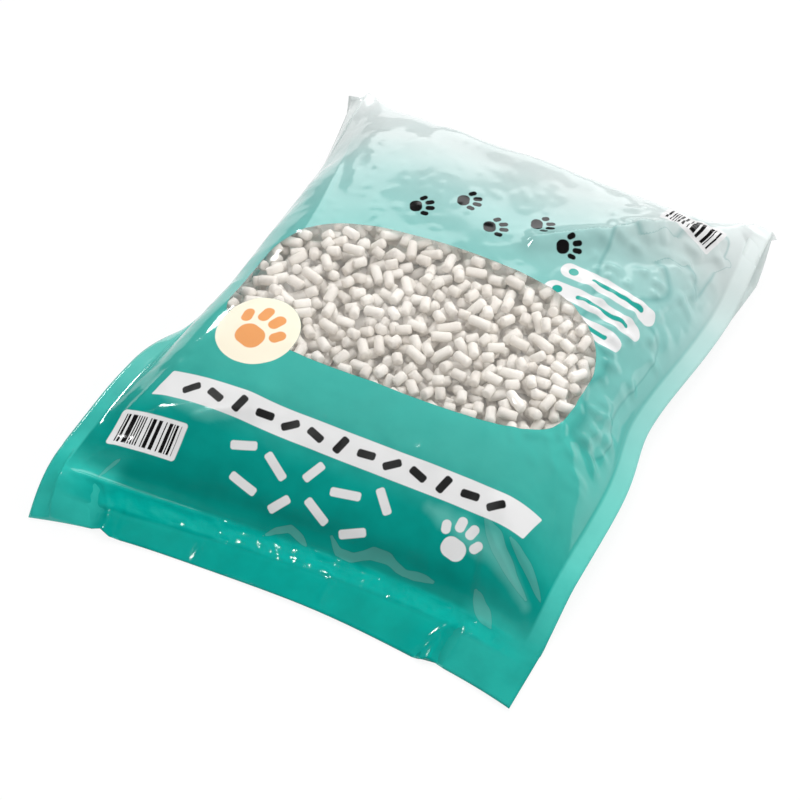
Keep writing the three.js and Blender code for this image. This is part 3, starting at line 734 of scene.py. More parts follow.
across_step = np.roll(film, -1, 1) - np.roll(film, 1, 1)
along_step = np.gradient(film, axis=0)
normals = np.cross(along_step, across_step)
normals /= np.maximum(np.linalg.norm(normals, axis=-1, keepdims=True), 1e-9)
normals *= np.sign(normals[FRONT_ROWS + BODY_ROWS // 2, centre_column, 2])
film_points = film + relief[..., None] * normals
print("relief", relief.min().round(2), "to", relief.max().round(2), "mm")

# %% [markdown]
# In some places the film lies tight on the fill. There the colour gets a greyer patch of painted sheen, with
# a thin dark line of painted shade along its edge. They could be painted by hand, but like the creases they
# are a short list of paths, so that each one can be moved, and the right side gets random ones. Two soft
# gleams of painted sheen on the front slope are made in the same way.

# %% Patches of painted sheen and shade where the film lies tight
RIBBONS = [
    # path over the floor, half width
    ([(15, -140), (22, -145), (31, -145), (41, -140), (51, -140), (62, -143), (72, -142), (79, -142)], 3.2),
    ([(-22, -152), (-16, -147), (-9, -144), (-1, -146), (4, -148)], 1.8),
    ([(80, 98), (91, 109), (106, 124), (122, 138), (135, 149)], 7.5),
    ([(92, -104), (105, -115), (119, -125), (130, -131)], 4.0),
    ([(110, -109), (124, -117), (137, -127)], 3.0),
    ([(103, -138), (112, -146), (119, -152)], 4.0),
    ([(-121, -164), (-119, -156), (-115, -148)], 1.6),
]
RIBBON_EDGE = 4.0
# Gleams are painted sheen: lighter strips on the front slope where its folds would catch the light.
GLEAMS = [
    ([(-112, -104), (-98, -108), (-82, -106), (-68, -102), (-54, -97)], 5.0),
    ([(61, -111), (82, -114), (103, -118), (120, -127), (131, -134)], 5.0),
]
GLEAM_EDGE = 6.0


def ribbon_share(x, y, ribbons, edge):
    """Above 0.5 inside the patches, with a slope at their edges."""
    best = np.zeros(x.shape)
    for path, half in ribbons:
        gap, _, share = near_path(x, y, path)
        wave = 1 + 0.3 * soft_noise(x, y, 18, 41) + 0.35 * soft_noise(x, y, 7, 42)
        taper = np.sin(np.pi * np.clip(share, 0.02, 0.98)) ** 0.5
        best = np.maximum(best, np.clip(0.5 + (half * taper * wave - gap) / edge, 0, 1))
    return best


print("patches:", len(RIBBONS), "gleams:", len(GLEAMS))


# %% [markdown]
# The grid of points becomes one closed mesh, with a strip of triangles in the slit at each cut edge. A map
# carries the flat coordinates for the print. A few named values on the points say where the film is a fin,
# a weld or a tight patch, so that the material can tint these places without an image. On the fins and ears
# the tint is painted light. On the patches it is painted sheen with a painted shade edge.

# %% Closing the cut edges
def zip_edge(first, second, points):
    """Triangles between two rows of vertices that run the same way."""
    faces, i, j = [], 0, 0
    while i + 1 < len(first) or j + 1 < len(second):
        ahead_first = i + 1 < len(first) and (
            j + 1 >= len(second) or points[first[i + 1], 0] < points[second[j + 1], 0]
        )
        if ahead_first:
            faces.append((first[i], first[i + 1], second[j]))
            i += 1
        else:
            faces.append((first[i], second[j + 1], second[j]))
            j += 1
    return [face for face in faces if len(set(face)) == 3]


def end_cap(row):
    """Closes the slit at a cut edge, between its upper and its lower side."""
    loop = np.arange(film.shape[1]) + row * film.shape[1]
    points = film_points.reshape(-1, 3)
    face_side = np.flatnonzero(upper)
    top = loop[face_side[::-1]]
    rest = np.concatenate([np.arange(face_side[-1], len(columns)), np.arange(0, face_side[0] + 1)])
    return zip_edge(list(top), list(loop[rest]), points)


print("columns on the upper side:", int(upper.sum()))

# %% The film's mesh
rows_count, columns_count = film.shape[:2]
grid = np.arange(rows_count * columns_count).reshape(rows_count, columns_count)
after = np.roll(grid, -1, 1)
quads = np.stack([grid[:-1], after[:-1], after[1:], grid[1:]], -1).reshape(-1, 4)
caps = end_cap(0) + [face[::-1] for face in end_cap(rows_count - 1)]
mesh = bpy.data.meshes.new("printed_film_bag")
mesh.from_pydata((film_points.reshape(-1, 3) * MM).tolist(), [], quads.tolist() + caps)
flat = np.stack([flat_x, flat_y], -1) * MM
corners = np.stack([flat[:-1, :-1], flat[:-1, 1:], flat[1:, 1:], flat[1:, :-1]], 2).reshape(-1, 2)
flat_map = mesh.uv_layers.new(name="flat film")
values = np.zeros((len(mesh.loops), 2), np.float32)
values[:len(corners)] = corners
cap_vertices = np.array(caps).ravel()
values[len(corners):] = flat[:, :-1].reshape(-1, 2)[cap_vertices]
flat_map.uv.foreach_set("vector", values.ravel())
mesh.polygons.foreach_set("use_smooth", np.ones(len(mesh.polygons), bool))
print("flat map:", len(values), "corners")

# %% Named values on the film
EAR_BLEND = 12
EAR_ROWS = (FRONT_ROWS + 22, FRONT_ROWS - 2)
FIN_LIGHT_TINTS = (0.8, 1.0)  # left, right
EAR_SHEEN_TINTS = (1.2, 0.55)

# The fin value is painted light: it lightens the fins for light coming through the single film, and the ears
# for sheen.
fin = np.isin(columns, ["face fin", "back fin", "hidden"])[None, :] * np.ones(film.shape[:2])
ear = np.maximum(ramp(PLEATS[0], PLEATS[0] - EAR_BLEND, x), ramp(PLEATS[1], PLEATS[1] + EAR_BLEND, x))
in_ear = ramp(*EAR_ROWS, np.arange(film.shape[0]))[:, None]
fin = blend(fin * np.where(x < 0, *FIN_LIGHT_TINTS), ear * np.where(x < 0, *EAR_SHEEN_TINTS), in_ear)
# Marks the tight patches, which get painted sheen and a painted shade edge, and the gleams, strips of painted
# sheen.
touch = np.maximum(ribbon_share(x, y, RIBBONS, RIBBON_EDGE), filled * cling * tight) * on_top
band = in_band(y - front_line(x)) * on_top * ramp(1.05, 0.85, edge_share)
gleam = ribbon_share(x, y, GLEAMS, GLEAM_EDGE) * on_top
strip = ramp(0, -3, y - front_line(x)) * (1 - ear) * on_top
for name, field in [("touch", touch), ("gleam", gleam), ("band", band), ("strip", strip), ("fin", fin)]:
    layer = mesh.attributes.new(name, "FLOAT", "POINT")
    layer.data.foreach_set("value", field.ravel().astype(np.float32))
mesh.update()
if sum(p.center.dot(p.normal) * p.area for p in mesh.polygons) < 0:
    mesh.flip_normals()
bag = bpy.data.objects.new("printed_film_bag", mesh)
bpy.context.scene.collection.objects.link(bag)
print("film:", len(mesh.polygons), "faces, valid:", not mesh.validate())

# %% [markdown]
# Only the pellets near the window can be seen, so only those become a piece. Each is a worn little cylinder
# with soft ends. All of them are copies of one, so the script makes a cloud of points, each with its
# direction, its length and its shade, and a small node tree sets a copy on every point.

# %% Pellets behind the window
BED_MARGIN = 1.3
BED_GAP = 0.7
PELLET_NOMINAL = 10.0
PELLET_SIDES = 10
PELLET_CHAMFER = 0.9
PELLET_END_SHARE = 0.72
PELLET_WEAR = 0.7

bed = dropped[window_level(*(dropped[:, :2] / BED_MARGIN ** 0.5).T) < 1]
bed_x, bed_y, bed_depth, bed_yaw, bed_tilt, bed_long = bed.T
bed_normal = face_normal(bed_x, bed_y)
lift = film_lift(bed_x, bed_y) - bed_depth - BED_GAP
bed_points = face_point(bed_x, bed_y) + bed_normal * lift[:, None]
across_axis = np.array([1.0, 0, 0]) - bed_normal * bed_normal[:, :1]
across_axis /= np.linalg.norm(across_axis, axis=1, keepdims=True)
along_axis = np.cross(bed_normal, across_axis)
level = np.cos(bed_yaw)[:, None] * across_axis + np.sin(bed_yaw)[:, None] * along_axis
lie = np.cos(bed_tilt)[:, None] * level - np.sin(bed_tilt)[:, None] * bed_normal

cloud = bpy.data.meshes.new("pellet_places")
cloud.from_pydata((bed_points * MM).tolist(), [], [])
for name, kind, field, key in [
    ("lie", "FLOAT_VECTOR", lie, "vector"),
    ("long", "FLOAT", bed_long / PELLET_NOMINAL, "value"),
    ("shade", "FLOAT", np.random.default_rng(5).random(len(bed)), "value"),
]:
    cloud.attributes.new(name, kind, "POINT").data.foreach_set(key, field.ravel().astype(np.float32))
print("pellets in the bed:", len(bed))


# %% Helpers for node trees
def wire(tree, socket, value):
    if isinstance(value, bpy.types.NodeSocket):
        tree.links.new(value, socket)
    else:
        socket.default_value = value


def add_node(tree, kind, inputs=None, **settings):
    node = tree.nodes.new(kind)
    for name, value in settings.items():
        setattr(node, name, value)
    for name, value in (inputs or {}).items():
        wire(tree, node.inputs[name], value)
    return node


def calc(tree, operation, *values, clamp=False):
    node = add_node(tree, "ShaderNodeMath", operation=operation, use_clamp=clamp)
    for socket, value in zip(node.inputs, values):
        wire(tree, socket, value)
    return node.outputs[0]


# %% Node tree that sets a pellet on every point
def named(tree, name, kind):
    return add_node(tree, "GeometryNodeInputNamedAttribute", {"Name": name}, data_type=kind).outputs[0]


def pellet_tree(material):
    tree = bpy.data.node_groups.new("pellet_bed", "GeometryNodeTree")
    tree.interface.new_socket("Geometry", in_out="INPUT", socket_type="NodeSocketGeometry")
    for label in ("Radius", "Length", "Chamfer", "End Share", "Wear"):
        tree.interface.new_socket(label, in_out="INPUT", socket_type="NodeSocketFloat")
    tree.interface.new_socket("Geometry", in_out="OUTPUT", socket_type="NodeSocketGeometry")
    start = add_node(tree, "NodeGroupInput").outputs
    pellet = add_node(
        tree, "GeometryNodeMeshCylinder",
        {"Vertices": PELLET_SIDES, "Side Segments": 3, "Radius": start["Radius"], "Depth": start["Length"]},
        fill_type="NGON",
    )
    place = add_node(tree, "GeometryNodeInputPosition").outputs[0]
    split = add_node(tree, "ShaderNodeSeparateXYZ", {0: place}).outputs
    half = calc(tree, "MULTIPLY", start["Length"], 0.5)
    at_end = calc(tree, "GREATER_THAN", calc(tree, "ABSOLUTE", split[2]), calc(tree, "MULTIPLY", half, 0.9))
    below_end = calc(tree, "SUBTRACT", half, start["Chamfer"])
    shoulder = calc(tree, "MULTIPLY", calc(tree, "SIGN", split[2]), below_end)
    end_height = calc(tree, "MULTIPLY", at_end, split[2])
    side_height = calc(tree, "MULTIPLY", calc(tree, "SUBTRACT", 1.0, at_end), shoulder)
    height = calc(tree, "ADD", end_height, side_height)
    drawn_in = calc(tree, "MULTIPLY", at_end, calc(tree, "SUBTRACT", 1.0, start["End Share"]))
    width = calc(tree, "SUBTRACT", 1.0, drawn_in)
    rounded = add_node(
        tree, "ShaderNodeCombineXYZ",
        {0: calc(tree, "MULTIPLY", split[0], width), 1: calc(tree, "MULTIPLY", split[1], width), 2: height},
    )
    worn = add_node(
        tree, "GeometryNodeSetPosition", {"Geometry": pellet.outputs["Mesh"], "Position": rounded.outputs[0]}
    )
    turn = add_node(
        tree, "FunctionNodeAlignRotationToVector", {"Vector": named(tree, "lie", "FLOAT_VECTOR")}, axis="Z"
    )
    size = add_node(tree, "ShaderNodeCombineXYZ", {0: 1.0, 1: 1.0, 2: named(tree, "long", "FLOAT")})
    copies = add_node(
        tree, "GeometryNodeInstanceOnPoints",
        {"Points": start["Geometry"], "Instance": worn.outputs[0], "Rotation": turn.outputs[0],
         "Scale": size.outputs[0]},
    )
    real = add_node(tree, "GeometryNodeRealizeInstances", {"Geometry": copies.outputs[0]})
    lumps = add_node(
        tree, "ShaderNodeTexNoise", {"Vector": place, "Scale": 160.0, "Detail": 2.0}, noise_dimensions="3D"
    )
    centred = add_node(
        tree, "ShaderNodeVectorMath", {0: lumps.outputs["Color"], 1: (0.5, 0.5, 0.5)}, operation="SUBTRACT"
    )
    shift = add_node(
        tree, "ShaderNodeVectorMath", {0: centred.outputs[0], "Scale": start["Wear"]}, operation="SCALE"
    )
    lumpy = add_node(
        tree, "GeometryNodeSetPosition", {"Geometry": real.outputs[0], "Offset": shift.outputs[0]}
    )
    smooth = add_node(tree, "GeometryNodeSetShadeSmooth", {"Geometry": lumpy.outputs[0]})
    painted = add_node(tree, "GeometryNodeSetMaterial", {"Geometry": smooth.outputs[0], "Material": material})
    add_node(tree, "NodeGroupOutput", {"Geometry": painted.outputs[0]})
    print("pellet tree:", len(tree.nodes), "nodes")
    return tree


def set_input(modifier, label, value):
    for item in modifier.node_group.interface.items_tree:
        if item.in_out == "INPUT" and item.name == label:
            modifier[item.identifier] = value


# %% [markdown]
# The pellets are pressed from pale mineral powder: dull, warm white, a little different from one to the
# next, with a fine grain. A photograph could be wrapped round them, but grain and shade are simple enough
# to make.

# %% Pellet material
def new_material(name):
    material = bpy.data.materials.new(name)
    material.use_nodes = True
    material.node_tree.nodes.clear()
    return material, material.node_tree


def mixed(tree, share, first, second, blend_type="MIX"):
    node = add_node(tree, "ShaderNodeMix", data_type="RGBA", blend_type=blend_type)
    wire(tree, node.inputs[0], share)
    for socket, value in zip((node.inputs[6], node.inputs[7]), (first, second)):
        wire(tree, socket, value)
    return node.outputs[2]


def attribute(tree, name):
    node = add_node(tree, "ShaderNodeAttribute", attribute_name=name, attribute_type="GEOMETRY")
    return node.outputs["Fac"]


PELLET_PALE = (0.95, 0.92, 0.87, 1)
PELLET_GREY = (0.82, 0.77, 0.71, 1)

pellet_material, tree = new_material("chalky_mineral")
place = add_node(tree, "ShaderNodeTexCoord").outputs["Object"]
grain = add_node(
    tree, "ShaderNodeTexNoise", {"Vector": place, "Scale": 900.0, "Detail": 4.0, "Roughness": 0.65}
)
blotch_and_shadow = add_node(tree, "ShaderNodeTexNoise", {"Vector": place, "Scale": 220.0, "Detail": 2.0})
own_tone = calc(tree, "MULTIPLY", attribute(tree, "shade"), 0.7)
tone = calc(tree, "ADD", own_tone, calc(tree, "MULTIPLY", blotch_and_shadow.outputs["Fac"], 0.4), clamp=True)
bump = add_node(
    tree, "ShaderNodeBump", {"Height": grain.outputs["Fac"], "Strength": 0.25, "Distance": 0.0004}
)
chalk = add_node(
    tree, "ShaderNodeBsdfPrincipled",
    {"Base Color": mixed(tree, tone, PELLET_PALE, PELLET_GREY), "Roughness": 0.95, "Normal": bump.outputs[0]},
)
add_node(tree, "ShaderNodeOutputMaterial", {"Surface": chalk.outputs[0]})
print("pellet material:", len(tree.nodes), "nodes")

# %% The piece of single pellets
cloud_object = bpy.data.objects.new("pellet_places", cloud)
bpy.context.scene.collection.objects.link(cloud_object)
modifier = cloud_object.modifiers.new("pellet_bed", "NODES")
modifier.node_group = pellet_tree(pellet_material)
for label, value in [
    ("Radius", PELLET_RADIUS * MM), ("Length", PELLET_NOMINAL * MM), ("Chamfer", PELLET_CHAMFER * MM),
    ("End Share", PELLET_END_SHARE), ("Wear", PELLET_WEAR * MM),
]:
    set_input(modifier, label, value)
bpy.context.view_layer.update()
evaluated = cloud_object.evaluated_get(bpy.context.evaluated_depsgraph_get())
pellet_mesh = bpy.data.meshes.new_from_object(evaluated)
pellet_mesh.name = "litter_pellets_seen"
bpy.data.objects.remove(cloud_object)
pellets = bpy.data.objects.new("litter_pellets_seen", pellet_mesh)
bpy.context.scene.collection.objects.link(pellets)
print("pellet piece:", len(pellet_mesh.polygons), "faces")

# %% [markdown]
# Below the pellets that can be seen, the rest of the fill is one closed pillow. It carries the bed, so no
# gap between the pellets shows an empty bag.

# %% Rest of the fill
CORE_INSET = 4.0
CORE_DEPTH = 17.0

core_u, core_along = np.meshgrid(np.linspace(-0.93, 0.93, 61), np.linspace(0.07, 0.95, 71))
core_x, core_y = place_across(core_u, core_along)
core_deep = CORE_INSET + CORE_DEPTH * ramp(1.9, 1.1, window_level(core_x, core_y))
core_floor = back_height(core_u, core_along)
core_top = np.maximum(face_height(core_u, core_along) - core_deep, core_floor + 2 * CORE_INSET)
core_low = core_floor + CORE_INSET
core_rows, core_columns = core_u.shape
top_points = np.stack([core_x, core_y, core_top], -1).reshape(-1, 3)
low_points = np.stack([core_x, core_y, core_low], -1).reshape(-1, 3)
index = np.arange(core_rows * core_columns).reshape(core_rows, core_columns)
top_faces = np.stack([index[:-1, :-1], index[:-1, 1:], index[1:, 1:], index[1:, :-1]], -1).reshape(-1, 4)
rim = np.concatenate([index[0, :-1], index[:-1, -1], index[-1, :0:-1], index[:0:-1, 0]])
rim_next = np.roll(rim, -1)
count = index.size
side_faces = np.stack([rim_next, rim, rim + count, rim_next + count], -1)
core_faces = np.concatenate([top_faces, top_faces[:, ::-1] + count, side_faces])
core_mesh = bpy.data.meshes.new("litter_fill")
core_mesh.from_pydata((np.concatenate([top_points, low_points]) * MM).tolist(), [], core_faces.tolist())
core_mesh.polygons.foreach_set("use_smooth", np.ones(len(core_mesh.polygons), bool))
core_mesh.materials.append(pellet_material)
core = bpy.data.objects.new("litter_fill", core_mesh)
bpy.context.scene.collection.objects.link(core)
print("fill:", len(core_mesh.polygons), "faces, valid:", not core_mesh.validate())

# %% [markdown]
# The print is drawn on the flat film, as a printer lays it out before the bag is folded: a colour that
# fades from deep teal at the bottom seal to nearly white at the top, and plain marks made of rounded bars.
# An image could carry it, but bars from a small node group stay sharp at any size.

# %% Print marks as node groups
def new_group(name, labels):
    tree = bpy.data.node_groups.new(name, "ShaderNodeTree")
    for label in labels:
        tree.interface.new_socket(label, in_out="INPUT", socket_type="NodeSocketFloat")
    tree.interface.new_socket("Mask", in_out="OUTPUT", socket_type="NodeSocketFloat")
    return tree, add_node(tree, "NodeGroupInput").outputs


def turned(tree, u, v, turn):
    """Coordinates in a frame that is turned by an angle."""
    cos, sin = calc(tree, "COSINE", turn), calc(tree, "SINE", turn)
    along = calc(tree, "ADD", calc(tree, "MULTIPLY", u, cos), calc(tree, "MULTIPLY", v, sin))
    across = calc(tree, "SUBTRACT", calc(tree, "MULTIPLY", v, cos), calc(tree, "MULTIPLY", u, sin))
    return along, across


BAR_INPUTS = (
    "U", "V", "Centre U", "Centre V", "Half Length", "Half Height", "Corner", "Turn", "Slant", "Blur",
)


def make_bar_group():
    """A rounded bar: 1 inside, 0 outside, with a soft edge."""
    tree, start = new_group("rounded_bar", BAR_INPUTS)
    du = calc(tree, "SUBTRACT", start["U"], start["Centre U"])
    dv = calc(tree, "SUBTRACT", start["V"], start["Centre V"])
    along, across = turned(tree, du, dv, start["Turn"])
    along = calc(tree, "SUBTRACT", along, calc(tree, "MULTIPLY", across, start["Slant"]))
    beyond = []
    for place, half in ((along, start["Half Length"]), (across, start["Half Height"])):
        flat_half = calc(tree, "SUBTRACT", half, start["Corner"])
        beyond.append(calc(tree, "SUBTRACT", calc(tree, "ABSOLUTE", place), flat_half))
    outside = [calc(tree, "POWER", calc(tree, "MAXIMUM", side, 0.0), 2.0) for side in beyond]
    corner = calc(tree, "SQRT", calc(tree, "ADD", *outside))
    inside = calc(tree, "MINIMUM", calc(tree, "MAXIMUM", *beyond), 0.0)
    distance = calc(tree, "SUBTRACT", calc(tree, "ADD", corner, inside), start["Corner"])
    mask = calc(tree, "SUBTRACT", 0.5, calc(tree, "DIVIDE", distance, start["Blur"]), clamp=True)
    add_node(tree, "NodeGroupOutput", {"Mask": mask})
    return tree


bar_group = make_bar_group()
EDGE_BLUR = 0.5


def bar(tree, u, v, centre, half, corner=0.0, turn=0.0, slant=0.0, blur=EDGE_BLUR):
    values = {
        "U": u, "V": v, "Centre U": centre[0], "Centre V": centre[1], "Half Length": half[0],
        "Half Height": half[1], "Corner": corner, "Turn": math.radians(turn), "Slant": slant, "Blur": blur,
    }
    return add_node(tree, "ShaderNodeGroup", values, node_tree=bar_group).outputs[0]


def any_of(tree, masks):
    total = masks[0]
    for mask in masks[1:]:
        total = calc(tree, "MAXIMUM", total, mask)
    return total


print("bar group:", len(bar_group.nodes), "nodes")

# %% A paw from five bars
PAW_PARTS = [
    # centre, half size, corner, turn, for a paw one unit across
    ((0.0, -0.16), (0.27, 0.22), 0.2, 0),
    ((-0.38, 0.13), (0.1, 0.15), 0.1, 25),
    ((-0.14, 0.34), (0.105, 0.165), 0.1, 8),
    ((0.14, 0.34), (0.105, 0.165), 0.1, -8),
    ((0.38, 0.13), (0.1, 0.15), 0.1, -25),
]


def make_paw_group():
    tree, start = new_group("paw_print", ("U", "V", "Centre U", "Centre V", "Size", "Turn"))
    du = calc(tree, "DIVIDE", calc(tree, "SUBTRACT", start["U"], start["Centre U"]), start["Size"])
    dv = calc(tree, "DIVIDE", calc(tree, "SUBTRACT", start["V"], start["Centre V"]), start["Size"])
    along, across = turned(tree, du, dv, start["Turn"])
    blur = calc(tree, "DIVIDE", EDGE_BLUR, start["Size"])
    parts = [bar(tree, along, across, *part, blur=blur) for part in PAW_PARTS]
    add_node(tree, "NodeGroupOutput", {"Mask": any_of(tree, parts)})
    return tree


paw_group = make_paw_group()


def paw(tree, u, v, centre, size, turn):
    values = {
        "U": u, "V": v, "Centre U": centre[0], "Centre V": centre[1], "Size": size,
        "Turn": math.radians(turn),
    }
    return add_node(tree, "ShaderNodeGroup", values, node_tree=paw_group).outputs[0]


print("paw group:", len(paw_group.nodes), "nodes")

# %% [markdown]
# Where the film is clear, light goes through it and only a weak reflection and a little haze stay. Where it
# is printed, it is a glossy plastic. One material holds both, mixed by the outline of the window.

# %% Colours of the print
FADE = [
    # place along the flat film in millimetres, colour
    (-195, (0.000, 0.235, 0.197)),
    (-150, (0.000, 0.232, 0.195)),
    (-120, (0.002, 0.310, 0.264)),
    (-85, (0.050, 0.395, 0.340)),
    (-45, (0.062, 0.425, 0.370)),
    (0, (0.105, 0.430, 0.390)),
    (50, (0.185, 0.475, 0.442)),
    (100, (0.325, 0.535, 0.515)),
    (140, (0.535, 0.605, 0.595)),
    (157, (0.620, 0.680, 0.672)),
    (180, (0.740, 0.775, 0.768)),
]
# Painted light: the colours the fins and ears are lightened toward, for light through the thin film and for
# sheen.
FIN_LIT_MINT = (0.08, 0.9, 0.78, 1)
FIN_LIT_PALE = (0.8, 0.88, 0.86, 1)
BAND_TEAL = (0.0, 0.42, 0.36, 1)
# Painted sheen of the gleams, painted shade, and painted sheen of the tight patches.
GLEAM_SHEEN_MINT = (0.4, 0.9, 0.82, 1)
SHADE = (0.55, 0.72, 0.72, 1)
SHEEN_GREY_MINT = (0.5, 0.6, 0.58, 1)
WHITE = (0.72, 0.72, 0.72, 1)
DARK_GREY = (0.006, 0.0058, 0.006, 1)
TEAL = (0.02, 0.33, 0.28, 1)
CREAM = (0.85, 0.78, 0.62, 1)
ORANGE = (0.75, 0.30, 0.08, 1)

film_material, tree = new_material("printed_film")
flat_node = add_node(tree, "ShaderNodeUVMap", uv_map="flat film").outputs[0]
flat_split = add_node(tree, "ShaderNodeSeparateXYZ", {0: flat_node}).outputs
u, v = calc(tree, "MULTIPLY", flat_split[0], 1000.0), calc(tree, "MULTIPLY", flat_split[1], 1000.0)
fade = add_node(tree, "ShaderNodeValToRGB")
fade_start, fade_end = FADE[0][0], FADE[-1][0]
wire(tree, fade.inputs[0], calc(tree, "DIVIDE", calc(tree, "SUBTRACT", v, fade_start), fade_end - fade_start))
stops = fade.color_ramp.elements
for number, (place_v, colour) in enumerate(FADE):
    where = (place_v - fade_start) / (fade_end - fade_start)
    stop = stops[number] if number < 2 else stops.new(where)
    stop.position, stop.color = where, (*colour, 1)
ink = fade.outputs[0]
print("colours along the film:", len(FADE))

# %% Layout of the print, in millimetres on the flat film
PAWS = [  # centre, size, turn
    ((-40, 82), 17, -62), ((-16, 98), 17, -70), ((8, 84), 17, -62),
    ((32, 100), 17, -70), ((56, 86), 17, -62),
]
WHITE_PAW = ((84, -128), 27, -12)
PELLET_MARKS = [  # centre, half length, turn
    ((-52, -122), 8, 20), ((-30, -126), 9, -35), ((-8, -121), 7, 60),
    ((14, -126), 9, 10), ((36, -122), 8, -50), ((-44, -142), 9, -15),
    ((-20, -145), 7, 50), ((2, -141), 9, -30), ((26, -145), 8, 25),
]
PILLS = [((91, 71), 33), ((88, 54), 33), ((83, 37), 31)]
PILL_HALF = 6.0
BANNER = ((2, -101), (118, 8.5))
BANNER_SLANT = 0.35
BANNER_MARKS = 13
BANNER_START = -96
BANNER_STEP = 16
BANNER_TURNS = (35, -20, 70, 5)
LABELS = [((-108, -134), (21, 11.5)), ((111, 153), (20, 11))]
LABEL_BORDER = (3, 2.5)
STRIPES_PER_MM = 1.35
BADGE_CENTRE = (-78, -52)
BADGE_HALF = 25
BADGE_PAW = ((-78, -53), 34, -20)

banner = bar(tree, u, v, *BANNER, 1.0, 0, BANNER_SLANT)
paper = any_of(tree, [
    banner,
    *[bar(tree, u, v, centre, (half, PILL_HALF), PILL_HALF) for centre, half in PILLS],
    *[bar(tree, u, v, centre, half, 2.0) for centre, half in LABELS],
    *[bar(tree, u, v, centre, (half, 2.6), 1.6, turn) for centre, half, turn in PELLET_MARKS],
    paw(tree, u, v, *WHITE_PAW),
])
banner_marks = any_of(tree, [
    bar(tree, u, v, (BANNER_START + BANNER_STEP * k, BANNER[0][1]), (5.5, 2.4), 1.6, BANNER_TURNS[k % 4])
    for k in range(BANNER_MARKS)
])
paws = any_of(tree, [paw(tree, u, v, centre, size, turn) for centre, size, turn in PAWS])
pill_marks = any_of(tree, [
    *[bar(tree, u, v, (centre[0] - half + 8, centre[1]), (3, 3), 3.0) for centre, half in PILLS],
    *[bar(tree, u, v, (centre[0] + 5, centre[1]), (half - 15, 1.6), 1.6) for centre, half in PILLS],
])
stripe_number = calc(tree, "FLOOR", calc(tree, "MULTIPLY", u, STRIPES_PER_MM))
stripes = add_node(tree, "ShaderNodeTexWhiteNoise", {"W": stripe_number}, noise_dimensions="1D").outputs[0]
dark_stripe = calc(tree, "GREATER_THAN", stripes, 0.5)
label_stripes = []
for centre, (half_u, half_v) in LABELS:
    inside = bar(tree, u, v, centre, (half_u - LABEL_BORDER[0], half_v - LABEL_BORDER[1]))
    label_stripes.append(calc(tree, "MULTIPLY", inside, dark_stripe))
badge = bar(tree, u, v, BADGE_CENTRE, (BADGE_HALF, BADGE_HALF), float(BADGE_HALF))
badge_paw = paw(tree, u, v, *BADGE_PAW)
print("print:", len(PAWS) + 2, "paws,", len(PELLET_MARKS) + BANNER_MARKS, "bars,", len(LABELS), "labels")

# %% Ink: painted light on fins and ears, welds, painted pellet shadow, painted sheen and shade on patches, then the print
FIN_PAINTED_LIGHT = 0.3
FIN_FADE = (-165.0, 110.0)
STRIP_LIGHTER = 0.5
BAND_LIGHTER = 0.75
# Painted shade: how dark the pellet shadows under the front film are, and where they fade out.
PELLET_SHADOW = 0.45
PELLET_SHADOW_FADE = (-60.0, -110.0)
# Painted sheen inside the tight patches, and painted shade along their edges.
PATCH_SHEEN = 0.1
PATCH_EDGE_SHADE = 0.7
PATCH_EDGE_STEEP = 14.0
GLEAM_SHARE = 0.2


def mapped(tree, value, start, end, low=0.0, high=1.0):
    inputs = {"Value": value, "From Min": start, "From Max": end, "To Min": low, "To Max": high}
    return add_node(tree, "ShaderNodeMapRange", inputs).outputs[0]


def tinted(tree, ink, mask, strength, colour):
    return mixed(tree, calc(tree, "MULTIPLY", mask, strength), ink, colour)


def shaded(tree, ink):
    return mixed(tree, 1.0, ink, SHADE, "MULTIPLY")


# Painted light: the fins and ears are lightened toward mint.
fin_lit_colour = mixed(tree, mapped(tree, v, *FIN_FADE), FIN_LIT_MINT, FIN_LIT_PALE)
ink = tinted(tree, ink, attribute(tree, "fin"), FIN_PAINTED_LIGHT, fin_lit_colour)
ink = tinted(tree, ink, attribute(tree, "strip"), STRIP_LIGHTER, BAND_TEAL)
ink = tinted(tree, ink, attribute(tree, "band"), BAND_LIGHTER, BAND_TEAL)
touch = attribute(tree, "touch")
patch = mapped(tree, touch, 0.48, 0.54)
# Painted shade: a thin dark line along the edge of each tight patch.
off_edge = calc(tree, "ABSOLUTE", calc(tree, "SUBTRACT", touch, 0.5))
edge_shade = calc(tree, "SUBTRACT", 1.0, calc(tree, "MULTIPLY", off_edge, PATCH_EDGE_STEEP), clamp=True)
# Painted shade: soft dark mottling for the shadows of the pellets under the film.
pellet_shadow_noise = add_node(tree, "ShaderNodeTexNoise", {"Vector": flat_node, "Scale": 55.0, "Detail": 3.0})
blotch_and_shadow = mapped(tree, pellet_shadow_noise.outputs["Fac"], 0.35, 0.65, 0.0, PELLET_SHADOW)
ink = tinted(tree, ink, blotch_and_shadow, mapped(tree, v, *PELLET_SHADOW_FADE, 0.25), shaded(tree, ink))
# Painted sheen: the tight patches are lightened toward a grey mint.
ink = tinted(tree, ink, patch, PATCH_SHEEN, SHEEN_GREY_MINT)
# Painted sheen: the gleams lighten the ink toward a pale mint.
ink = tinted(tree, ink, attribute(tree, "gleam"), GLEAM_SHARE, GLEAM_SHEEN_MINT)
ink = tinted(tree, ink, edge_shade, PATCH_EDGE_SHADE, shaded(tree, ink))
ink = mixed(tree, paper, ink, WHITE)
ink = mixed(tree, any_of(tree, [banner_marks, paws, *label_stripes]), ink, DARK_GREY)
ink = mixed(tree, pill_marks, ink, TEAL)
ink = mixed(tree, badge, ink, CREAM)
ink = mixed(tree, badge_paw, ink, ORANGE)
print("ink:", len(tree.nodes), "nodes so far")

# %% Where the film is printed and where it is clear
WINDOW_EDGE_STEEP = 60.0
FACE_REACH = 150.0

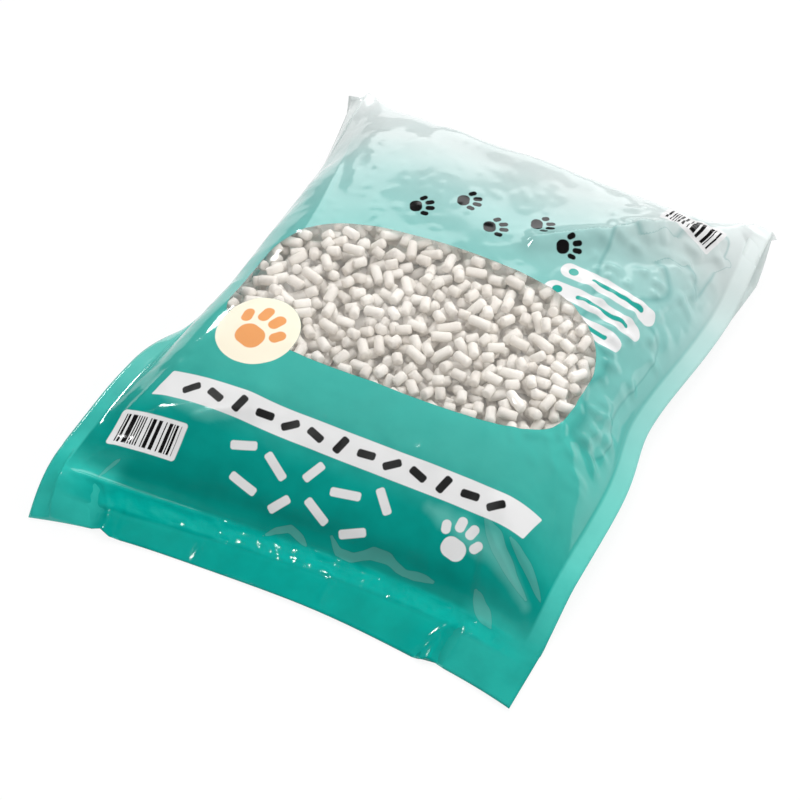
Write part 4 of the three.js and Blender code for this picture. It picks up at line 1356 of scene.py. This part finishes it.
from_middle = calc(tree, "ABSOLUTE", calc(tree, "SUBTRACT", u, WINDOW_CENTRE[0]))
across = calc(tree, "DIVIDE", from_middle, WINDOW_HALF[0])
off = calc(tree, "SUBTRACT", v, WINDOW_CENTRE[1])
levels = []
for half, power in zip(WINDOW_HALF[1:], WINDOW_POWERS):
    along = calc(tree, "DIVIDE", calc(tree, "ABSOLUTE", off), half)
    levels.append(calc(tree, "ADD", *[calc(tree, "POWER", share, power) for share in (across, along)]))
rear_half = calc(tree, "GREATER_THAN", off, 0.0)
front_half = calc(tree, "SUBTRACT", 1.0, rear_half)
rear_level = calc(tree, "MULTIPLY", rear_half, levels[1])
level_here = calc(tree, "ADD", rear_level, calc(tree, "MULTIPLY", front_half, levels[0]))
outside = calc(tree, "MULTIPLY", calc(tree, "SUBTRACT", level_here, 1.0), WINDOW_EDGE_STEEP, clamp=True)
on_front = calc(tree, "LESS_THAN", calc(tree, "ABSOLUTE", u), FACE_REACH)
printed = any_of(tree, [outside, calc(tree, "SUBTRACT", 1.0, on_front), badge])
print("window:", len(tree.nodes), "nodes so far")

# %% Gloss, clear film and haze
CRINKLE = 0.14
FILM_DULL = 0.1
MATT_INK = 0.35
HAZE = 0.06
PRINT_LETS_THROUGH = 0.7

crinkle = add_node(tree, "ShaderNodeTexNoise", {"Vector": flat_node, "Scale": 140.0, "Detail": 3.0})
crinkled = calc(tree, "ADD", CRINKLE, calc(tree, "MULTIPLY", attribute(tree, "band"), 1.0 - CRINKLE))
crinkles = calc(tree, "MULTIPLY", crinkle.outputs["Fac"], crinkled)
film_bump = add_node(tree, "ShaderNodeBump", {"Height": crinkles, "Strength": 0.6, "Distance": 0.0006})
matt_ink = calc(tree, "MULTIPLY", any_of(tree, [banner, badge]), MATT_INK)
dullness = calc(tree, "ADD", FILM_DULL, matt_ink)
gloss = add_node(
    tree, "ShaderNodeBsdfPrincipled",
    {"Base Color": ink, "Roughness": dullness, "Specular IOR Level": 0.5, "Normal": film_bump.outputs[0]},
)
mirror = add_node(tree, "ShaderNodeBsdfGlossy", {"Roughness": 0.12, "Normal": film_bump.outputs[0]})
through = add_node(tree, "ShaderNodeBsdfTransparent")
haze = add_node(tree, "ShaderNodeBsdfDiffuse", {"Color": (0.85, 0.87, 0.86, 1)})
lit = add_node(tree, "ShaderNodeLightPath").outputs["Is Shadow Ray"]
seen = calc(tree, "SUBTRACT", 1.0, lit)
facing = add_node(tree, "ShaderNodeFresnel", {"IOR": 1.4})
shine = calc(tree, "MULTIPLY", facing.outputs[0], seen)
clear = add_node(tree, "ShaderNodeMixShader", {0: shine, 1: through.outputs[0], 2: mirror.outputs[0]})
haziness = calc(tree, "MULTIPLY", seen, HAZE)
veiled = add_node(tree, "ShaderNodeMixShader", {0: haziness, 1: clear.outputs[0], 2: haze.outputs[0]})
let_through = calc(tree, "MULTIPLY", lit, PRINT_LETS_THROUGH)
covers = calc(tree, "MULTIPLY", printed, calc(tree, "SUBTRACT", 1.0, let_through))
whole = add_node(tree, "ShaderNodeMixShader", {0: covers, 1: veiled.outputs[0], 2: gloss.outputs[0]})
add_node(tree, "ShaderNodeOutputMaterial", {"Surface": whole.outputs[0]})
mesh.materials.append(film_material)
print("film material:", len(tree.nodes), "nodes")

# %% [markdown]
# The bag lies on a white sweep under large soft lamps. Most of the light comes from above and behind, so
# the front slope of the bag is the darkest. A mirror-like film shows the shape of each lamp, so the broad
# lamps are kept out of its gloss. A low sweep lamp behind the bag and two small ones are seen only in the
# gloss: they draw the shine along the folds and the glints on the weld.

# %% World
SKY_DARK = 0.2
SKY_BRIGHT = 0.6
SKY_LEAN = 0.35
GLOSS_DIM = 0.88

world = bpy.data.worlds.new("studio")
bpy.context.scene.world = world
world.use_nodes = True
tree = world.node_tree
tree.nodes.clear()
path = add_node(tree, "ShaderNodeLightPath").outputs
towards = add_node(tree, "ShaderNodeTexCoord").outputs["Generated"]
direction = add_node(tree, "ShaderNodeSeparateXYZ", {0: towards}).outputs
behind = calc(tree, "SUBTRACT", direction[1], calc(tree, "MULTIPLY", direction[0], SKY_LEAN))
behind = mapped(tree, behind, -0.3, 1.0)
studio = calc(tree, "ADD", SKY_DARK, calc(tree, "MULTIPLY", behind, SKY_BRIGHT - SKY_DARK))
seen_in_gloss = calc(tree, "SUBTRACT", 1.0, calc(tree, "MULTIPLY", path["Is Glossy Ray"], GLOSS_DIM))
shown = calc(tree, "MAXIMUM", path["Is Camera Ray"], path["Is Transmission Ray"])
strength = calc(tree, "MAXIMUM", calc(tree, "MULTIPLY", studio, seen_in_gloss), shown)
sky = add_node(tree, "ShaderNodeBackground", {"Color": (1, 1, 1, 1), "Strength": strength})
add_node(tree, "ShaderNodeOutputWorld", {"Surface": sky.outputs[0]})
print("world:", len(tree.nodes), "nodes")

# %% Lamps
MIDDLE = (0, 0, 0)
LAMPS = [
    # name, place, aim, size, watts, seen only in the gloss
    ("back lamp", (-0.3, 1.35, 1.35), MIDDLE, (2.2, 1.4), 18, False),
    ("sweep lamp", (-0.43, 1.59, 0.95), MIDDLE, (1.8, 0.88), 11.5, True),
    ("top lamp", (0.1, 0.0, 1.7), MIDDLE, (1.2, 1.2), 15, False),
    ("front lamp", (-0.9, -1.2, 0.9), (0, -0.1, 0), (1.0, 0.8), 5, False),
    ("right lamp", (1.4, 0.3, 0.9), MIDDLE, (1.0, 0.8), 10, False),
    ("glint lamp", (-0.7, -0.2, 1.3), MIDDLE, (0.16, 0.16), 3.5, True),
    ("side lamp", (-1.3, 0.76, 0.56), MIDDLE, (0.2, 0.2), 3.5, True),
]


def softbox(name, location, target, size, watts, only_gloss):
    light = bpy.data.lights.new(name, "AREA")
    light.shape, light.size, light.size_y, light.energy = "RECTANGLE", *size, watts
    lamp = bpy.data.objects.new(name, light)
    bpy.context.scene.collection.objects.link(lamp)
    lamp.location = location
    away = np.array(location) - np.array(target)
    lamp.rotation_euler = (
        math.atan2(math.hypot(away[0], away[1]), away[2]), 0, math.atan2(away[0], -away[1])
    )
    lamp.visible_diffuse, lamp.visible_glossy = not only_gloss, only_gloss


for lamp_values in LAMPS:
    softbox(*lamp_values)
print("lamps:", len(LAMPS))

# %% Floor
FLOOR_HALF = 4.0
FLOOR_DROP = 0.0005
FLOOR_GLOW = 0.85

floor_mesh = bpy.data.meshes.new("floor")
floor_corners = [(i * FLOOR_HALF, j * FLOOR_HALF, 0) for i, j in ((-1, -1), (1, -1), (1, 1), (-1, 1))]
floor_mesh.from_pydata(floor_corners, [], [(0, 1, 2, 3)])
floor = bpy.data.objects.new("floor", floor_mesh)
floor.location.z = -FLOOR_DROP
bpy.context.scene.collection.objects.link(floor)
floor_material, tree = new_material("white_sweep")
path = add_node(tree, "ShaderNodeLightPath").outputs
matt = add_node(tree, "ShaderNodeBsdfDiffuse", {"Color": (0.9, 0.9, 0.9, 1)})
glow = add_node(tree, "ShaderNodeEmission", {"Color": (1, 1, 1, 1), "Strength": 1.0})
shown = any_of(tree, [path["Is Camera Ray"], path["Is Glossy Ray"], path["Is Transmission Ray"]])
share = calc(tree, "MULTIPLY", shown, FLOOR_GLOW)
sweep = add_node(tree, "ShaderNodeMixShader", {0: share, 1: matt.outputs[0], 2: glow.outputs[0]})
add_node(tree, "ShaderNodeOutputMaterial", {"Surface": sweep.outputs[0]})
floor_mesh.materials.append(floor_material)
bpy.context.scene.view_settings.view_transform = "Standard"
print("floor", 2 * FLOOR_HALF, "m wide")

# %% [markdown]
# Last, each piece is tied to the imported model: what it rides on, and which solid it stands for.

# %% Tying the pieces to the model
for piece, node, finish_slot in [
    (bag, "film_bag", "printed_film"),
    (pellets, "litter_pellets", "pellets"),
    (core, "litter_pellets", "pellets"),
]:
    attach(piece, "root")
    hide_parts(node)
